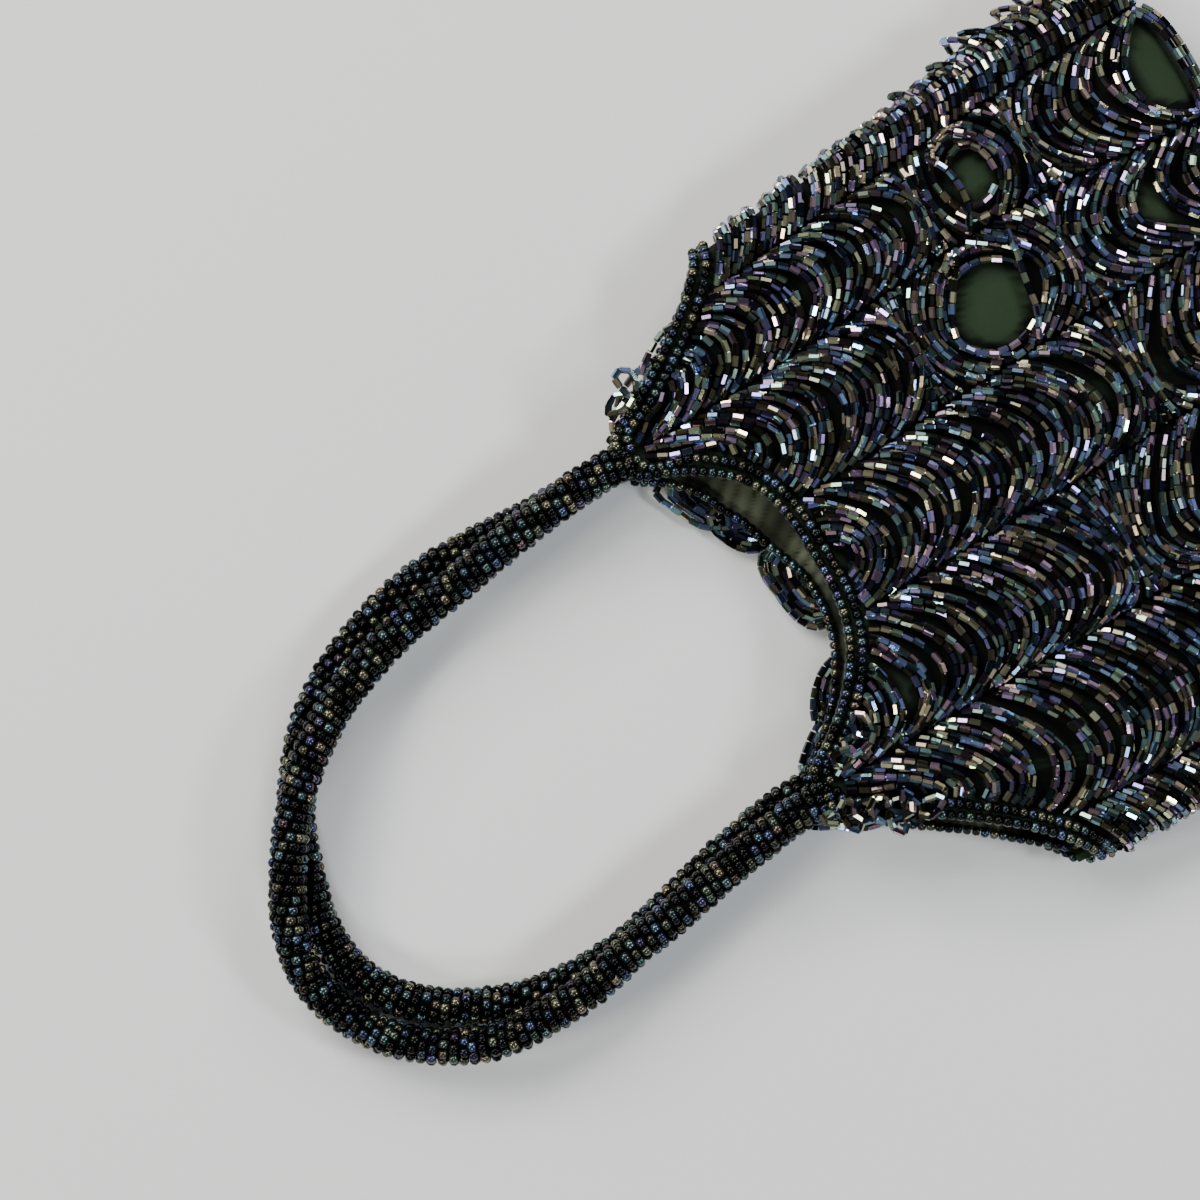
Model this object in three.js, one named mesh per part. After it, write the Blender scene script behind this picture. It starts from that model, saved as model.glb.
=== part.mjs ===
import * as THREE from 'three';

// A small beaded evening bag that lies on its back. Millimetres, +Z up. The origin is on the surface it
// lies on, under the middle of the pouch; +Y runs to the handle and +X to the right of the front.

// Pouch
const bodyLeft = 85;
const bodyRight = 71.5;
const bodyFoot = 59;
const cornerRadius = 16;
const flareLeft = 2.2;
const flareRight = 4.2;
const seamLean = 6;
const seamHeight = 9.3;
const frontRise = 8.4;
const frontReach = 14;
const backReach = 10;
const wall = 1.4;
const liningThickness = 1;
const liningDepth = 34;
const liningInset = 4.5;
const pieceGap = 0.3;
const seamDent = 0.8;
const seamDentWidth = 3;

// Crown edge
const peakHeight = 85.5;
const mouthHeight = 61.5;
const leftShoulder = 42;
const rightShoulder = 50.5;
const tabHalfWidth = 5;
const mouthCurveLeft = 2.6;
const mouthCurveRight = 4;
const crownFall = 0.41;
const lipRise = 8;

// Seed-bead edging
const trimWidth = 4.6;
const trimHeight = 2.1;

// Swags
const frontLoft = 3.6;
const backLoft = 3.5;
const seamLoft = 1.3;
const swagSag = 8;
const ridgeDepth = 1.2;
const fanReach = 8;
const webThickness = 1;

// Handle
const ropeDiameter = 8.6;
const ropeGap = 0.5;
const handleReach = 108;
const ropeSides = 10;
const ropeSteps = 50;

const flatWidth = bodyLeft + bodyRight;
const { clamp, degToRad, lerp, smoothstep } = THREE.MathUtils;

// Seams between the swag columns, as shares of the flat width from the left side seam
const seamShares = [0, 0.066, 0.27, 0.456, 0.636, 0.808, 0.944, 1];
const columnCount = seamShares.length - 1;
const leftPeakSeam = 2;
const rightPeakSeam = 5;

// How far the back edge stands above the front one: where along the flat width, and share of lipRise
const lipTable = [
  { across: 0, rise: 0.5 },
  { across: 0.16, rise: 0.5 },
  { across: 0.25, rise: 0 },
  { across: 0.32, rise: 0 },
  { across: 0.4, rise: 0.25 },
  { across: 0.54, rise: 0.35 },
  { across: 0.61, rise: 0.8 },
  { across: 0.68, rise: 1 },
  { across: 0.73, rise: 0.6 },
  { across: 0.78, rise: 0 },
  { across: 1, rise: 0 },
];

// How each front column's swags hang from foot to edge: 1 sags to the foot, -1 lies the other way
const layTable = [
  [{ along: 0, sag: 0 }, { along: 1, sag: 0 }],
  [{ along: 0, sag: -1 }, { along: 0.3, sag: -1 }, { along: 0.48, sag: 1 }, { along: 1, sag: 1 }],
  [{ along: 0, sag: -1 }, { along: 0.45, sag: -1 }, { along: 0.63, sag: 1 }, { along: 1, sag: 1 }],
  [{ along: 0, sag: -1 }, { along: 0.24, sag: -1 }, { along: 0.42, sag: 1 }, { along: 1, sag: 1 }],
  [
    { along: 0, sag: -1 },
    { along: 0.26, sag: -1 },
    { along: 0.41, sag: 0.7 },
    { along: 0.46, sag: 0.7 },
    { along: 0.59, sag: -0.7 },
    { along: 0.67, sag: -0.7 },
    { along: 0.83, sag: 1 },
    { along: 1, sag: 1 },
  ],
  [{ along: 0, sag: -1 }, { along: 0.24, sag: -1 }, { along: 0.4, sag: 1 }, { along: 1, sag: 1 }],
  [{ along: 0, sag: 0 }, { along: 1, sag: 0 }],
];

// Places where the swags have parted and the satin shows: column, place along it and half length
const bareTable = [
  { column: 4, along: 0.29, half: 0.035 },
  { column: 5, along: 0.525, half: 0.07 },
  { column: 6, along: 0.44, half: 0.05 },
  { column: 6, along: 0.06, half: 0.06 },
];

// Back swags that fan out past the edge: column, share of fanReach, and the shares of the column between
// which the fan is full; beside a peak's tab it stays as thin as the web under the edging
const fanTable = [
  { column: 3, reach: 0.55, from: 0.6, to: 1 },
  { column: 4, reach: 0.75, from: 0, to: 1 },
  { column: 5, reach: 0.6, from: 0, to: 0.4 },
];

// Middle line of the handle, as shares of half the distance between the peaks and of handleReach
const handleRoute = [
  { across: 1, up: 0 },
  { across: 1, up: 0.06 },
  { across: 0.985, up: 0.2 },
  { across: 0.97, up: 0.34 },
  { across: 0.914, up: 0.535 },
  { across: 0.732, up: 0.721 },
  { across: 0.439, up: 0.858 },
  { across: 0.085, up: 0.945 },
  { across: -0.299, up: 1 },
  { across: -0.614, up: 0.993 },
  { across: -0.924, up: 0.921 },
  { across: -1.155, up: 0.782 },
  { across: -1.224, up: 0.606 },
  { across: -1.157, up: 0.405 },
  { across: -1.05, up: 0.2 },
  { across: -1, up: 0.06 },
  { across: -1, up: 0 },
];

// Lean of the upper rope about the lower one: share of the handle's length, and degrees from the outside
const leanTable = [
  { along: 0, lean: 90 },
  { along: 0.05, lean: 90 },
  { along: 0.1, lean: 104 },
  { along: 0.18, lean: 136 },
  { along: 0.26, lean: 130 },
  { along: 0.33, lean: 114 },
  { along: 0.4, lean: 90 },
  { along: 0.46, lean: 62 },
  { along: 0.54, lean: 18 },
  { along: 0.6, lean: 10 },
  { along: 0.66, lean: 24 },
  { along: 0.72, lean: 58 },
  { along: 0.8, lean: 84 },
  { along: 0.94, lean: 70 },
  { along: 1, lean: 70 },
];

const front = { side: 1, rise: frontRise, reach: frontReach, fall: crownFall, dent: seamDent };
const backRise = seamHeight - pieceGap / 2 - pieceGap - backLoft;
const back = { side: -1, rise: backRise, reach: backReach, fall: 0, dent: 0 };

const bead = { color: 0x20242e, roughness: 0.25, metalness: 0.75 };
const looks = {
  satin: { color: 0x1f2b20, roughness: 0.5, metalness: 0 },
  lining: { color: 0x4b5236, roughness: 0.7, metalness: 0 },
  hexBead: bead,
  seedBead: { ...bead, color: 0x2a2f38 },
};

// Value of a table's column at a place, on straight lines between its rows
function tableValue(table, key, column, place) {
  const next = table.findIndex((row) => row[key] >= place);
  if (next <= 0) return table[Math.max(next, 0) || (next < 0 ? table.length - 1 : 0)][column];
  const low = table[next - 1];
  const high = table[next];
  return lerp(low[column], high[column], (place - low[key]) / (high[key] - low[key]));
}

const seamAt = (index) => -bodyLeft + seamShares[index] * flatWidth;
const leftPeak = seamAt(leftPeakSeam);
const rightPeak = seamAt(rightPeakSeam);

// Crown edge of the front: tabs at the two peaks, a round mouth between them, hollow shoulders outside
function frontEdge(x) {
  const mouthMiddle = (leftPeak + rightPeak) / 2;
  const mouthHalf = (rightPeak - leftPeak) / 2 - tabHalfWidth;
  const fromMouth = Math.abs(x - mouthMiddle) / mouthHalf;
  const onLeft = x < mouthMiddle;
  const curve = onLeft ? mouthCurveLeft : mouthCurveRight;
  if (fromMouth < 1) return mouthHeight + (peakHeight - mouthHeight) * fromMouth ** curve;
  const tabEdge = onLeft ? leftPeak - tabHalfWidth : rightPeak + tabHalfWidth;
  const bodyEdge = onLeft ? -bodyLeft : bodyRight;
  const outward = clamp((x - tabEdge) / (bodyEdge - tabEdge), 0, 1);
  const shoulder = onLeft ? leftShoulder : rightShoulder;
  return shoulder + (peakHeight - shoulder) * (1 - outward) ** 1.35;
}

function edgeHeight(face, x) {
  const lip = lipRise * tableValue(lipTable, 'across', 'rise', (x + bodyLeft) / flatWidth);
  return Math.min(frontEdge(x) + (face.side < 0 ? lip : 0), peakHeight);
}

const onTab = (x) => Math.min(Math.abs(x - leftPeak), Math.abs(x - rightPeak)) < tabHalfWidth + 0.01;

// Lower line of the edging: below the edge by its width, measured square to the edge
function trimLine(face, x) {
  const step = tabHalfWidth / 2;
  const slope = (edgeHeight(face, x + step) - edgeHeight(face, x - step)) / (2 * step);
  return edgeHeight(face, x) - trimWidth * Math.hypot(1, slope);
}

// Distance inside the rounded outline, with the direction in which it grows
function insideOutline(x, y) {
  const fromLeft = x + bodyLeft;
  const fromRight = bodyRight - x;
  const fromFoot = y + bodyFoot;
  const fromSide = Math.min(fromLeft, fromRight);
  const inward = fromLeft < fromRight ? 1 : -1;
  if (fromSide < cornerRadius && fromFoot < cornerRadius) {
    const overX = cornerRadius - fromSide;
    const overY = cornerRadius - fromFoot;
    const radius = Math.hypot(overX, overY);
    return { distance: cornerRadius - radius, x: (inward * overX) / radius, y: overY / radius };
  }
  if (fromSide < fromFoot) return { distance: fromSide, x: inward, y: 0 };
  return { distance: fromFoot, x: 0, y: 1 };
}

// The outline narrows a little to the handle, and two seams on the right lean in at the foot
function sidewaysShift(x, y) {
  const across = (x + bodyLeft) / flatWidth;
  const flare = ((1 - across) * flareLeft - across * flareRight) * (Math.min(y, rightShoulder) / bodyFoot);
  const lean = seamLean * Math.exp(-(((across - 0.82) / 0.1) ** 2));
  return flare - lean * smoothstep(-y, 0.1 * bodyFoot, bodyFoot);
}

function seamValley(x) {
  let depth = 0;
  for (let index = 1; index < columnCount; index += 1) {
    depth = Math.max(depth, Math.exp(-(((x - seamAt(index)) / seamDentWidth) ** 2)));
  }
  return depth;
}

// A point of a face of the pouch: a quarter ellipse from the side seam up to a flat middle, lifted
// along the face's normal by an offset
function shellPoint(face, x, y, offset) {
  const inside = insideOutline(x, y);
  const turn = Math.acos(1 - clamp(inside.distance / face.reach, 0, 1));
  const fall = face.fall * clamp(y / peakHeight, 0, 1) ** 2;
  const rise = face.rise * (1 - fall) - face.dent * seamValley(x);
  const steep = (face.rise / face.reach) * Math.cos(turn);
  const normal = new THREE.Vector3(-inside.x * steep, -inside.y * steep, face.side * Math.sin(turn));
  const height = seamHeight + face.side * (pieceGap / 2 + rise * Math.sin(turn));
  const point = new THREE.Vector3(x + sidewaysShift(x, y), y, height);
  return point.addScaledVector(normal.normalize(), offset);
}

// Lowest point of the outline at a place across
function footAt(x) {
  const overX = cornerRadius - Math.min(x + bodyLeft, bodyRight - x);
  if (overX <= 0) return -bodyFoot;
  return -bodyFoot + cornerRadius - Math.sqrt(Math.max(cornerRadius ** 2 - overX ** 2, 0));
}

// Places across a column where the grid has a line: close at the side seams and at the peaks' tabs
function columnStations(index) {
  const left = seamAt(index);
  const width = seamAt(index + 1) - left;
  const tab = tabHalfWidth / width;
  const quarter = Math.acos(1 - Math.min(width / frontReach, 1));
  const rounded = [0, 1, 2, 3].map((k) => (1 - Math.cos((k * quarter) / 3)) / (1 - Math.cos(quarter)));
  let cuts = [0, 0.2, 0.5, 0.8, 1];
  if (index === 0) cuts = rounded;
  if (index === columnCount - 1) cuts = rounded.map((cut) => 1 - cut).reverse();
  if (index + 1 === leftPeakSeam || index + 1 === rightPeakSeam) {
    cuts = [0, 0.36, 0.7].map((cut) => cut * (1 - tab)).concat([1 - tab, 1]);
  }
  if (index === leftPeakSeam || index === rightPeakSeam) {
    cuts = [0, tab].concat([0.3, 0.64, 1].map((cut) => tab + cut * (1 - tab)));
  }
  return cuts.map((cut) => left + cut * width);
}

const allStations = [...Array(columnCount).keys()].flatMap((index) =>
  columnStations(index).slice(index === 0 ? 0 : 1));

// Heights of the grid rows over one place: close on the rounded foot, then even up to the edging
const footTurns = [0, 30, 60, 90];
const middleRows = 8;
function bodyRows(face, x) {
  const foot = footAt(x);
  const footRows = footTurns.map((turn) => foot + face.reach * (1 - Math.cos(degToRad(turn))));
  const start = foot + face.reach;
  const end = trimLine(face, x);
  const rest = [...Array(middleRows).keys()].map((k) => lerp(start, end, (k + 1) / middleRows));
  return [...footRows, ...rest];
}

// A grid of points: one row for each entry of the row lists, one column for each station
function surface(face, stations, rowsOf, offsetOf) {
  const rows = stations.map(rowsOf);
  return rows[0].map((unused, r) =>
    stations.map((x, c) => shellPoint(face, x, rows[c][r], offsetOf(x, rows[c][r], r))));
}

// Border of a grid as four lines that run anticlockwise
function gridBorders(grid) {
  const last = grid[0].length - 1;
  return [
    grid[0],
    grid.map((row) => row[last]),
    [...grid[grid.length - 1]].reverse(),
    grid.map((row) => row[0]).reverse(),
  ];
}

// Closes an outer and an inner grid into one solid, with walls along the four borders
function closedSolid(outer, inner) {
  const triangles = [];
  const addSheet = (grid, flip) => {
    for (let r = 0; r + 1 < grid.length; r += 1) {
      for (let c = 0; c + 1 < grid[r].length; c += 1) {
        const [a, b, d, e] = [grid[r][c], grid[r][c + 1], grid[r + 1][c + 1], grid[r + 1][c]];
        triangles.push(...(flip ? [[a, d, b], [a, e, d]] : [[a, b, d], [a, d, e]]));
      }
    }
  };
  const addWall = (top, bottom) => {
    let t = 0;
    let b = 0;
    while (t < top.length - 1 || b < bottom.length - 1) {
      const nextTop = (t + 1) / (top.length - 1);
      const nextBottom = (b + 1) / (bottom.length - 1);
      if (nextBottom <= nextTop) {
        triangles.push([bottom[b], bottom[b + 1], top[t]]);
        b += 1;
      } else {
        triangles.push([bottom[b], top[t + 1], top[t]]);
        t += 1;
      }
    }
  };
  addSheet(outer, false);
  addSheet(inner, true);
  const innerBorders = gridBorders(inner);
  gridBorders(outer).forEach((line, k) => addWall(line, innerBorders[k]));
  const triple = new THREE.Vector3();
  const volume = triangles.reduce((sum, [a, b, c]) => sum + a.dot(triple.crossVectors(b, c)), 0);
  const ordered = volume < 0 ? triangles.map(([a, b, c]) => [a, c, b]) : triangles;
  const geometry = new THREE.BufferGeometry();
  const numbers = ordered.flatMap((corners) => corners.flatMap((point) => point.toArray()));
  geometry.setAttribute('position', new THREE.Float32BufferAttribute(numbers, 3));
  geometry.computeVertexNormals();
  return geometry;
}

function named(name, geometry, look) {
  const mesh = new THREE.Mesh(geometry, new THREE.MeshStandardMaterial(look));
  mesh.name = name;
  return mesh;
}

function panel(name, face) {
  const rowsOf = (x) => [...bodyRows(face, x), edgeHeight(face, x)];
  const outer = surface(face, allStations, rowsOf, () => 0);
  const inner = surface(face, allStations, rowsOf, () => -wall);
  return named(name, closedSolid(outer, inner), looks.satin);
}

// Lining: a facing inside the crown edge, where the open mouth shows it
const liningRows = 5;
function lining(name, face) {
  const stations = allStations.filter((x) => insideOutline(x, 0).distance > liningInset);
  const rowsOf = (x) => {
    const edge = edgeHeight(face, x);
    const start = trimLine(face, x) - liningDepth;
    const below = [...Array(liningRows).keys()].map((k) =>
      lerp(start, trimLine(face, x), k / (liningRows - 1)));
    return [...below, edge];
  };
  const outerOffset = -(wall + pieceGap);
  const outer = surface(face, stations, rowsOf, () => outerOffset);
  const inner = surface(face, stations, rowsOf, () => outerOffset - liningThickness);
  return named(name, closedSolid(outer, inner), looks.lining);
}

// Two round rows side by side: share across the band, and share of its height
const trimSection = [
  { across: 0, height: 0.45 },
  { across: 0.12, height: 1 },
  { across: 0.36, height: 1 },
  { across: 0.5, height: 0.6 },
  { across: 0.64, height: 1 },
  { across: 0.88, height: 1 },
  { across: 1, height: 0.45 },
];

function trim(name, face, firstColumn, lastColumn) {
  const stations = allStations.filter((x) => x > seamAt(firstColumn) - 0.01 && x < seamAt(lastColumn + 1) + 0.01);
  if (firstColumn > 0) stations[0] += pieceGap / 2;
  if (lastColumn < columnCount - 1) stations[stations.length - 1] -= pieceGap / 2;
  const acrossBand = (shares) => (x) => shares.map((share) => lerp(trimLine(face, x), edgeHeight(face, x), share));
  const shares = trimSection.map((row) => row.across);
  const outer = surface(face, stations, acrossBand(shares), (x, y, r) =>
    pieceGap + trimHeight * trimSection[r].height);
  const inner = surface(face, stations, acrossBand([0, 1]), () => pieceGap);
  return named(name, closedSolid(outer, inner), looks.seedBead);
}

// Stations of one swag column, half a gap inside its seams
function swagStations(index) {
  const stations = columnStations(index);
  if (index > 0) stations[0] += pieceGap / 2;
  if (index < columnCount - 1) stations[stations.length - 1] -= pieceGap / 2;
  return stations;
}

const doubled = (values) => values.flatMap((value, k) =>
  (k + 1 < values.length ? [value, (value + values[k + 1]) / 2] : [value]));

// Share across a column, with the pouch's side seam counted as its middle
function crownShare(index, x) {
  const share = clamp((x - seamAt(index)) / (seamAt(index + 1) - seamAt(index)), 0, 1);
  if (index === 0) return 0.5 + share / 2;
  if (index === columnCount - 1) return share / 2;
  return share;
}

// Front swags: a ribbed strip, crowned between its seams, whose ribs follow the way the swags hang
function frontSwags(index) {
  const stations = swagStations(index);
  const rowsOf = (x) => {
    const rows = bodyRows(front, x);
    rows[rows.length - 1] -= pieceGap;
    return rows;
  };
  const hangingRows = (x) => {
    const rows = doubled(rowsOf(x));
    const length = rows[rows.length - 1] - rows[0];
    const middle = 4 * crownShare(index, x) * (1 - crownShare(index, x));
    return rows.map((y) => {
      const along = (y - rows[0]) / length;
      const free = smoothstep(Math.min(along, 1 - along), 0, 0.12);
      return y - swagSag * free * middle * tableValue(layTable[index], 'along', 'sag', along);
    });
  };
  const bareness = (x, y) => {
    const along = (y - footAt(x)) / (trimLine(front, x) - footAt(x));
    const middle = 4 * crownShare(index, x) * (1 - crownShare(index, x));
    return bareTable.filter((row) => row.column === index + 1).reduce((most, row) =>
      Math.max(most, middle * Math.exp(-(((along - row.along) / row.half) ** 2))), 0);
  };
  const thickness = (x, y, r) => {
    const share = crownShare(index, x);
    const crown = Math.sqrt(Math.max(4 * share * (1 - share), 0));
    const rib = r % 2 === 0 ? ridgeDepth * crown : 0;
    const full = lerp(seamLoft, frontLoft, crown) - rib;
    return pieceGap + lerp(full, webThickness, bareness(x, y));
  };
  const outer = surface(front, stations, hangingRows, thickness);
  const inner = surface(front, stations, rowsOf, () => pieceGap);
  return named(`swags_front_${index + 1}`, closedSolid(outer, inner), looks.hexBead);
}

// Back swags: pressed flat where the bag lies on them; some pass under the edging and fan out beyond it
function backSwags(index) {
  const stations = swagStations(index);
  const fan = fanTable.find((row) => row.column === index + 1);
  const clearOfTrim = pieceGap + trimHeight + pieceGap;
  const rowsOf = (x) => {
    const rows = bodyRows(back, x);
    const edge = edgeHeight(back, x);
    const share = crownShare(index, x);
    if (!fan) return [...rows.slice(0, -1), rows[rows.length - 1] - pieceGap];
    const reach = fanReach * fan.reach * Math.sqrt(Math.max(4 * share * (1 - share), 0));
    const start = edge + pieceGap;
    const line = rows[rows.length - 1];
    const fanRows = [start, start + 2 * pieceGap, start + 3 * pieceGap + reach * 0.6, start + 4 * pieceGap + reach];
    const tabRows = [0.2, 0.4, 0.6, 0.8].map((part) => lerp(line, edge, part));
    return [...rows.slice(0, -1), line - 3 * pieceGap, line - pieceGap, ...(onTab(x) ? tabRows : fanRows)];
  };
  const firstFanRow = footTurns.length + middleRows;
  const innerOffset = (x, y, r) => {
    if (!fan || r < firstFanRow) return pieceGap;
    const share = crownShare(index, x);
    const full = r > firstFanRow + 1 && share >= fan.from - 0.01 && share <= fan.to + 0.01;
    return full ? pieceGap : clearOfTrim;
  };
  const outerOffset = (x) => {
    const share = crownShare(index, x);
    const crown = Math.min((4 * share * (1 - share)) / 0.6, 1);
    return pieceGap + lerp(fan ? clearOfTrim : seamLoft, backLoft, crown);
  };
  const outer = surface(back, stations, rowsOf, outerOffset);
  const inner = surface(back, stations, rowsOf, innerOffset);
  return named(`swags_back_${index + 1}`, closedSolid(outer, inner), looks.hexBead);
}

// The handle's middle line, in plan, from the right peak round to the left one
const tipAt = (x) => x + sidewaysShift(x, peakHeight);
const peakMiddle = (tipAt(leftPeak) + tipAt(rightPeak)) / 2;
const peakHalf = (tipAt(rightPeak) - tipAt(leftPeak)) / 2;
const handleLine = new THREE.CatmullRomCurve3(handleRoute.map((row) =>
  new THREE.Vector3(peakMiddle + peakHalf * row.across, peakHeight + pieceGap + handleReach * row.up, 0)));

// One rope's axis: the lower rope lies on the surface, and the upper one leans about it
class RopeAxis extends THREE.Curve {
  constructor(isUpper) {
    super();
    this.isUpper = isUpper;
  }

  getPoint(share, target = new THREE.Vector3()) {
    const middle = handleLine.getPointAt(share);
    const along = handleLine.getTangentAt(share);
    const lean = degToRad(tableValue(leanTable, 'along', 'lean', share));
    const spacing = ropeDiameter + ropeGap;
    const outward = ((this.isUpper ? 1 : -1) * spacing * Math.cos(lean)) / 2;
    const height = pieceGap + ropeDiameter / 2 + (this.isUpper ? spacing * Math.sin(lean) : 0);
    return target.set(middle.x + along.y * outward, middle.y - along.x * outward, height);
  }
}

function rope(name, isUpper) {
  const corners = [...Array(ropeSides).keys()].map((k) => {
    const turn = (2 * Math.PI * (k + 0.5)) / ropeSides;
    return new THREE.Vector2(Math.cos(turn), Math.sin(turn)).multiplyScalar(ropeDiameter / 2);
  });
  const section = new THREE.Shape(corners);
  const axis = new RopeAxis(isUpper);
  const geometry = new THREE.ExtrudeGeometry(section, { steps: ropeSteps, extrudePath: axis });
  return named(name, geometry, looks.seedBead);
}

const bag = new THREE.Group();
bag.add(panel('front_panel', front), panel('back_panel', back));
bag.add(lining('lining_front', front), lining('lining_back', back));
for (let index = 0; index < columnCount; index += 1) {
  bag.add(frontSwags(index), backSwags(index));
}
for (const [side, face] of [['front', front], ['back', back]]) {
  bag.add(trim(`trim_mouth_${side}`, face, leftPeakSeam, rightPeakSeam - 1));
  bag.add(trim(`trim_left_${side}`, face, 0, leftPeakSeam - 1));
  bag.add(trim(`trim_right_${side}`, face, rightPeakSeam, columnCount - 1));
}
bag.add(rope('handle_rope_1', true), rope('handle_rope_2', false));

export default bag;
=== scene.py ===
"""Looks of a small beaded evening bag that lies on its back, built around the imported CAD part.

Shapes are worked out in millimetres in the part's own frame: +Z up, +Y to the handle, +X to the right of the
front. `mesh_piece` turns them into metres. Every piece lies where the CAD nodes that it stands for lie.
"""
import math

import bpy
import numpy as np
from mathutils import Matrix, Vector


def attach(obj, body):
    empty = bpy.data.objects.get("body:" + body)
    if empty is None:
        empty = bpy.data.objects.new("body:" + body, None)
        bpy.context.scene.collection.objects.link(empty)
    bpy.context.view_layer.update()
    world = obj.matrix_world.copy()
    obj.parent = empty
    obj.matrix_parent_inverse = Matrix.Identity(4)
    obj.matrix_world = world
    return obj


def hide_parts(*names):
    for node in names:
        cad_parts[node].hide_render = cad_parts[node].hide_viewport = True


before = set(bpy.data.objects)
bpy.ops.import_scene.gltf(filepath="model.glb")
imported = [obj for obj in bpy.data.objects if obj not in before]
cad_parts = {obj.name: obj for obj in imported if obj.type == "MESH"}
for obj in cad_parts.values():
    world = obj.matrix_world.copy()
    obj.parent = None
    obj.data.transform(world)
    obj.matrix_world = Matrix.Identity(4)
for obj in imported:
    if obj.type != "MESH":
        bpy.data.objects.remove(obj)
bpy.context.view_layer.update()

MM = 0.001
TURN = 2 * math.pi

# Pouch, in millimetres
BODY_LEFT = 85.0
BODY_RIGHT = 71.5
BODY_FOOT = 59.0
CORNER_RADIUS = 16.0
FLARE_LEFT = 2.2
FLARE_RIGHT = 4.2
SEAM_LEAN = 6.0
LEAN_PLACE = 0.82
LEAN_WIDTH = 0.1
LEAN_START = 0.1 * BODY_FOOT
SEAM_HEIGHT = 9.3
WALL = 1.4
LINING_THICKNESS = 1.0
LINING_DEPTH = 34.0
LINING_INSET = 4.5
PIECE_GAP = 0.3
SEAM_DENT_WIDTH = 3.0
FLOOR_GAP = 0.12

# Crown edge
PEAK_HEIGHT = 85.5
MOUTH_HEIGHT = 61.5
LEFT_SHOULDER = 42.0
RIGHT_SHOULDER = 50.5
SHOULDER_POWER = 1.35
TAB_HALF_WIDTH = 5.0
MOUTH_CURVE_LEFT = 2.6
MOUTH_CURVE_RIGHT = 4.0
LIP_RISE = 8.0
TRIM_WIDTH = 4.6

FLAT_WIDTH = BODY_LEFT + BODY_RIGHT
SEAM_SHARES = np.array([0, 0.066, 0.27, 0.456, 0.636, 0.808, 0.944, 1])
SEAMS = -BODY_LEFT + SEAM_SHARES * FLAT_WIDTH
COLUMNS = len(SEAMS) - 1
LEFT_PEAK = SEAMS[2]
RIGHT_PEAK = SEAMS[5]

FRONT = {"name": "front", "side": 1, "rise": 8.4, "reach": 14.0, "fall": 0.41, "dent": 0.8}
BACK = {"name": "back", "side": -1, "rise": 5.35, "reach": 10.0, "fall": 0.0, "dent": 0.0}

# How far the back edge stands above the front one: place across, share of LIP_RISE
LIP_TABLE = [(0, 0.5), (0.16, 0.5), (0.25, 0), (0.32, 0), (0.4, 0.25), (0.54, 0.35),
             (0.61, 0.8), (0.68, 1), (0.73, 0.6), (0.78, 0), (1, 0)]

# Beads: a profile is rows of place along the hole and radius, as shares of the length and the radius
HEX_PROFILE = [(-0.5, 0.74), (-0.445, 1), (0.445, 1), (0.5, 0.74)]
HEX_LENGTH = 2.36
HEX_RADIUS = 0.77
HEX_SPACING = 2.42
LOOP_SPACING = 2.26
SEED_PROFILE = [(-0.5, 0.4), (-0.42, 0.8), (0, 1), (0.42, 0.8), (0.5, 0.4)]
SEED_RADIUS = 1.16
SEED_LENGTH = 1.78
SEED_SPACING = 1.92
SEED_HUES = (0.5, 1.22)
FACET_HUE_SPREAD = 0.08
FACET_GLEAM_SPREAD = 0.36

# How the strands of each column hang: share from foot to edging, and sag to the foot in millimetres.
# Where the sag turns over at once, the strands part and the satin shows.
FRONT_LAY = {
    2: [(0, -10), (0.26, -10), (0.33, -4), (0.38, 2), (0.46, 11), (0.86, 12), (1, 9)],
    3: [(0, -11), (0.39, -11), (0.46, -4), (0.5, 0), (0.54, 4), (0.61, 12), (0.9, 13), (1, 12)],
    4: [(0, -10), (0.2, -10), (0.243, -7), (0.247, -12), (0.3, -6), (0.36, 0), (0.42, 6), (0.48, 12),
        (0.9, 13), (1, 12)],
    5: [(0, -11), (0.1, -8), (0.105, -12), (0.24, -10), (0.29, -8), (0.34, 0), (0.4, 8), (0.488, 11),
        (0.492, -10.5), (0.58, -7.5), (0.64, -2), (0.68, 3), (0.735, 11), (0.9, 12.5), (1, 12)],
    6: [(0, -11), (0.2, -10), (0.26, -5), (0.31, 1), (0.36, 7), (0.418, 7), (0.422, -5), (0.48, -3),
        (0.52, 3), (0.57, 9.5), (0.9, 10), (1, 8)],
}
# The back's middle columns all hang alike
BACK_LAY = [(0, -7), (0.3, -7), (0.5, 9), (1, 9)]
# Shares at which a round opening lies in each front column, and how far along its sides draw in
OPENINGS = {4: [0.245], 5: [0.102, 0.49], 6: [0.42]}
NECK_WIDTH = 0.05
# Place of a swag's lowest point across its column, from -1 to 1
SKEW = {"front": {2: -0.24, 3: -0.28, 4: -0.12, 5: 0.0, 6: 0.04},
        "back": {2: 0.0, 3: 0.1, 4: 0.0, 5: -0.5, 6: 0.0}}
STRAND_PITCH = {"front": 1.8, "back": 2.6}
# How far a strand's ends keep from the seam, the foot and the edging
SEAM_MARGIN = 0.6
FOOT_MARGIN = 0.3
EDGING_MARGIN = 0.5
SHORT_END_MARGIN = 0.4
# Where one seam is shorter, the upper swags start from the edging, up to this share of the column across. It is
# reached where the seams differ by this share of the longer one.
EDGING_TRAVEL = 0.6
SEAM_DIFFERENCE = 0.12
# How unevenly the strands hang: bunching as a wave over their numbers, and spreads of what varies by chance
HUDDLE_REACH = 0.5
HUDDLE_PERIOD = 4.3
HUDDLE_SPREAD = 0.22
SAG_SHARE_SPREAD = 0.04
SAG_SPREAD = 0.3
SKEW_SPREAD = 0.08
WANDER_SPREAD = 0.22
LAYER_SPREAD = 0.12
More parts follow.
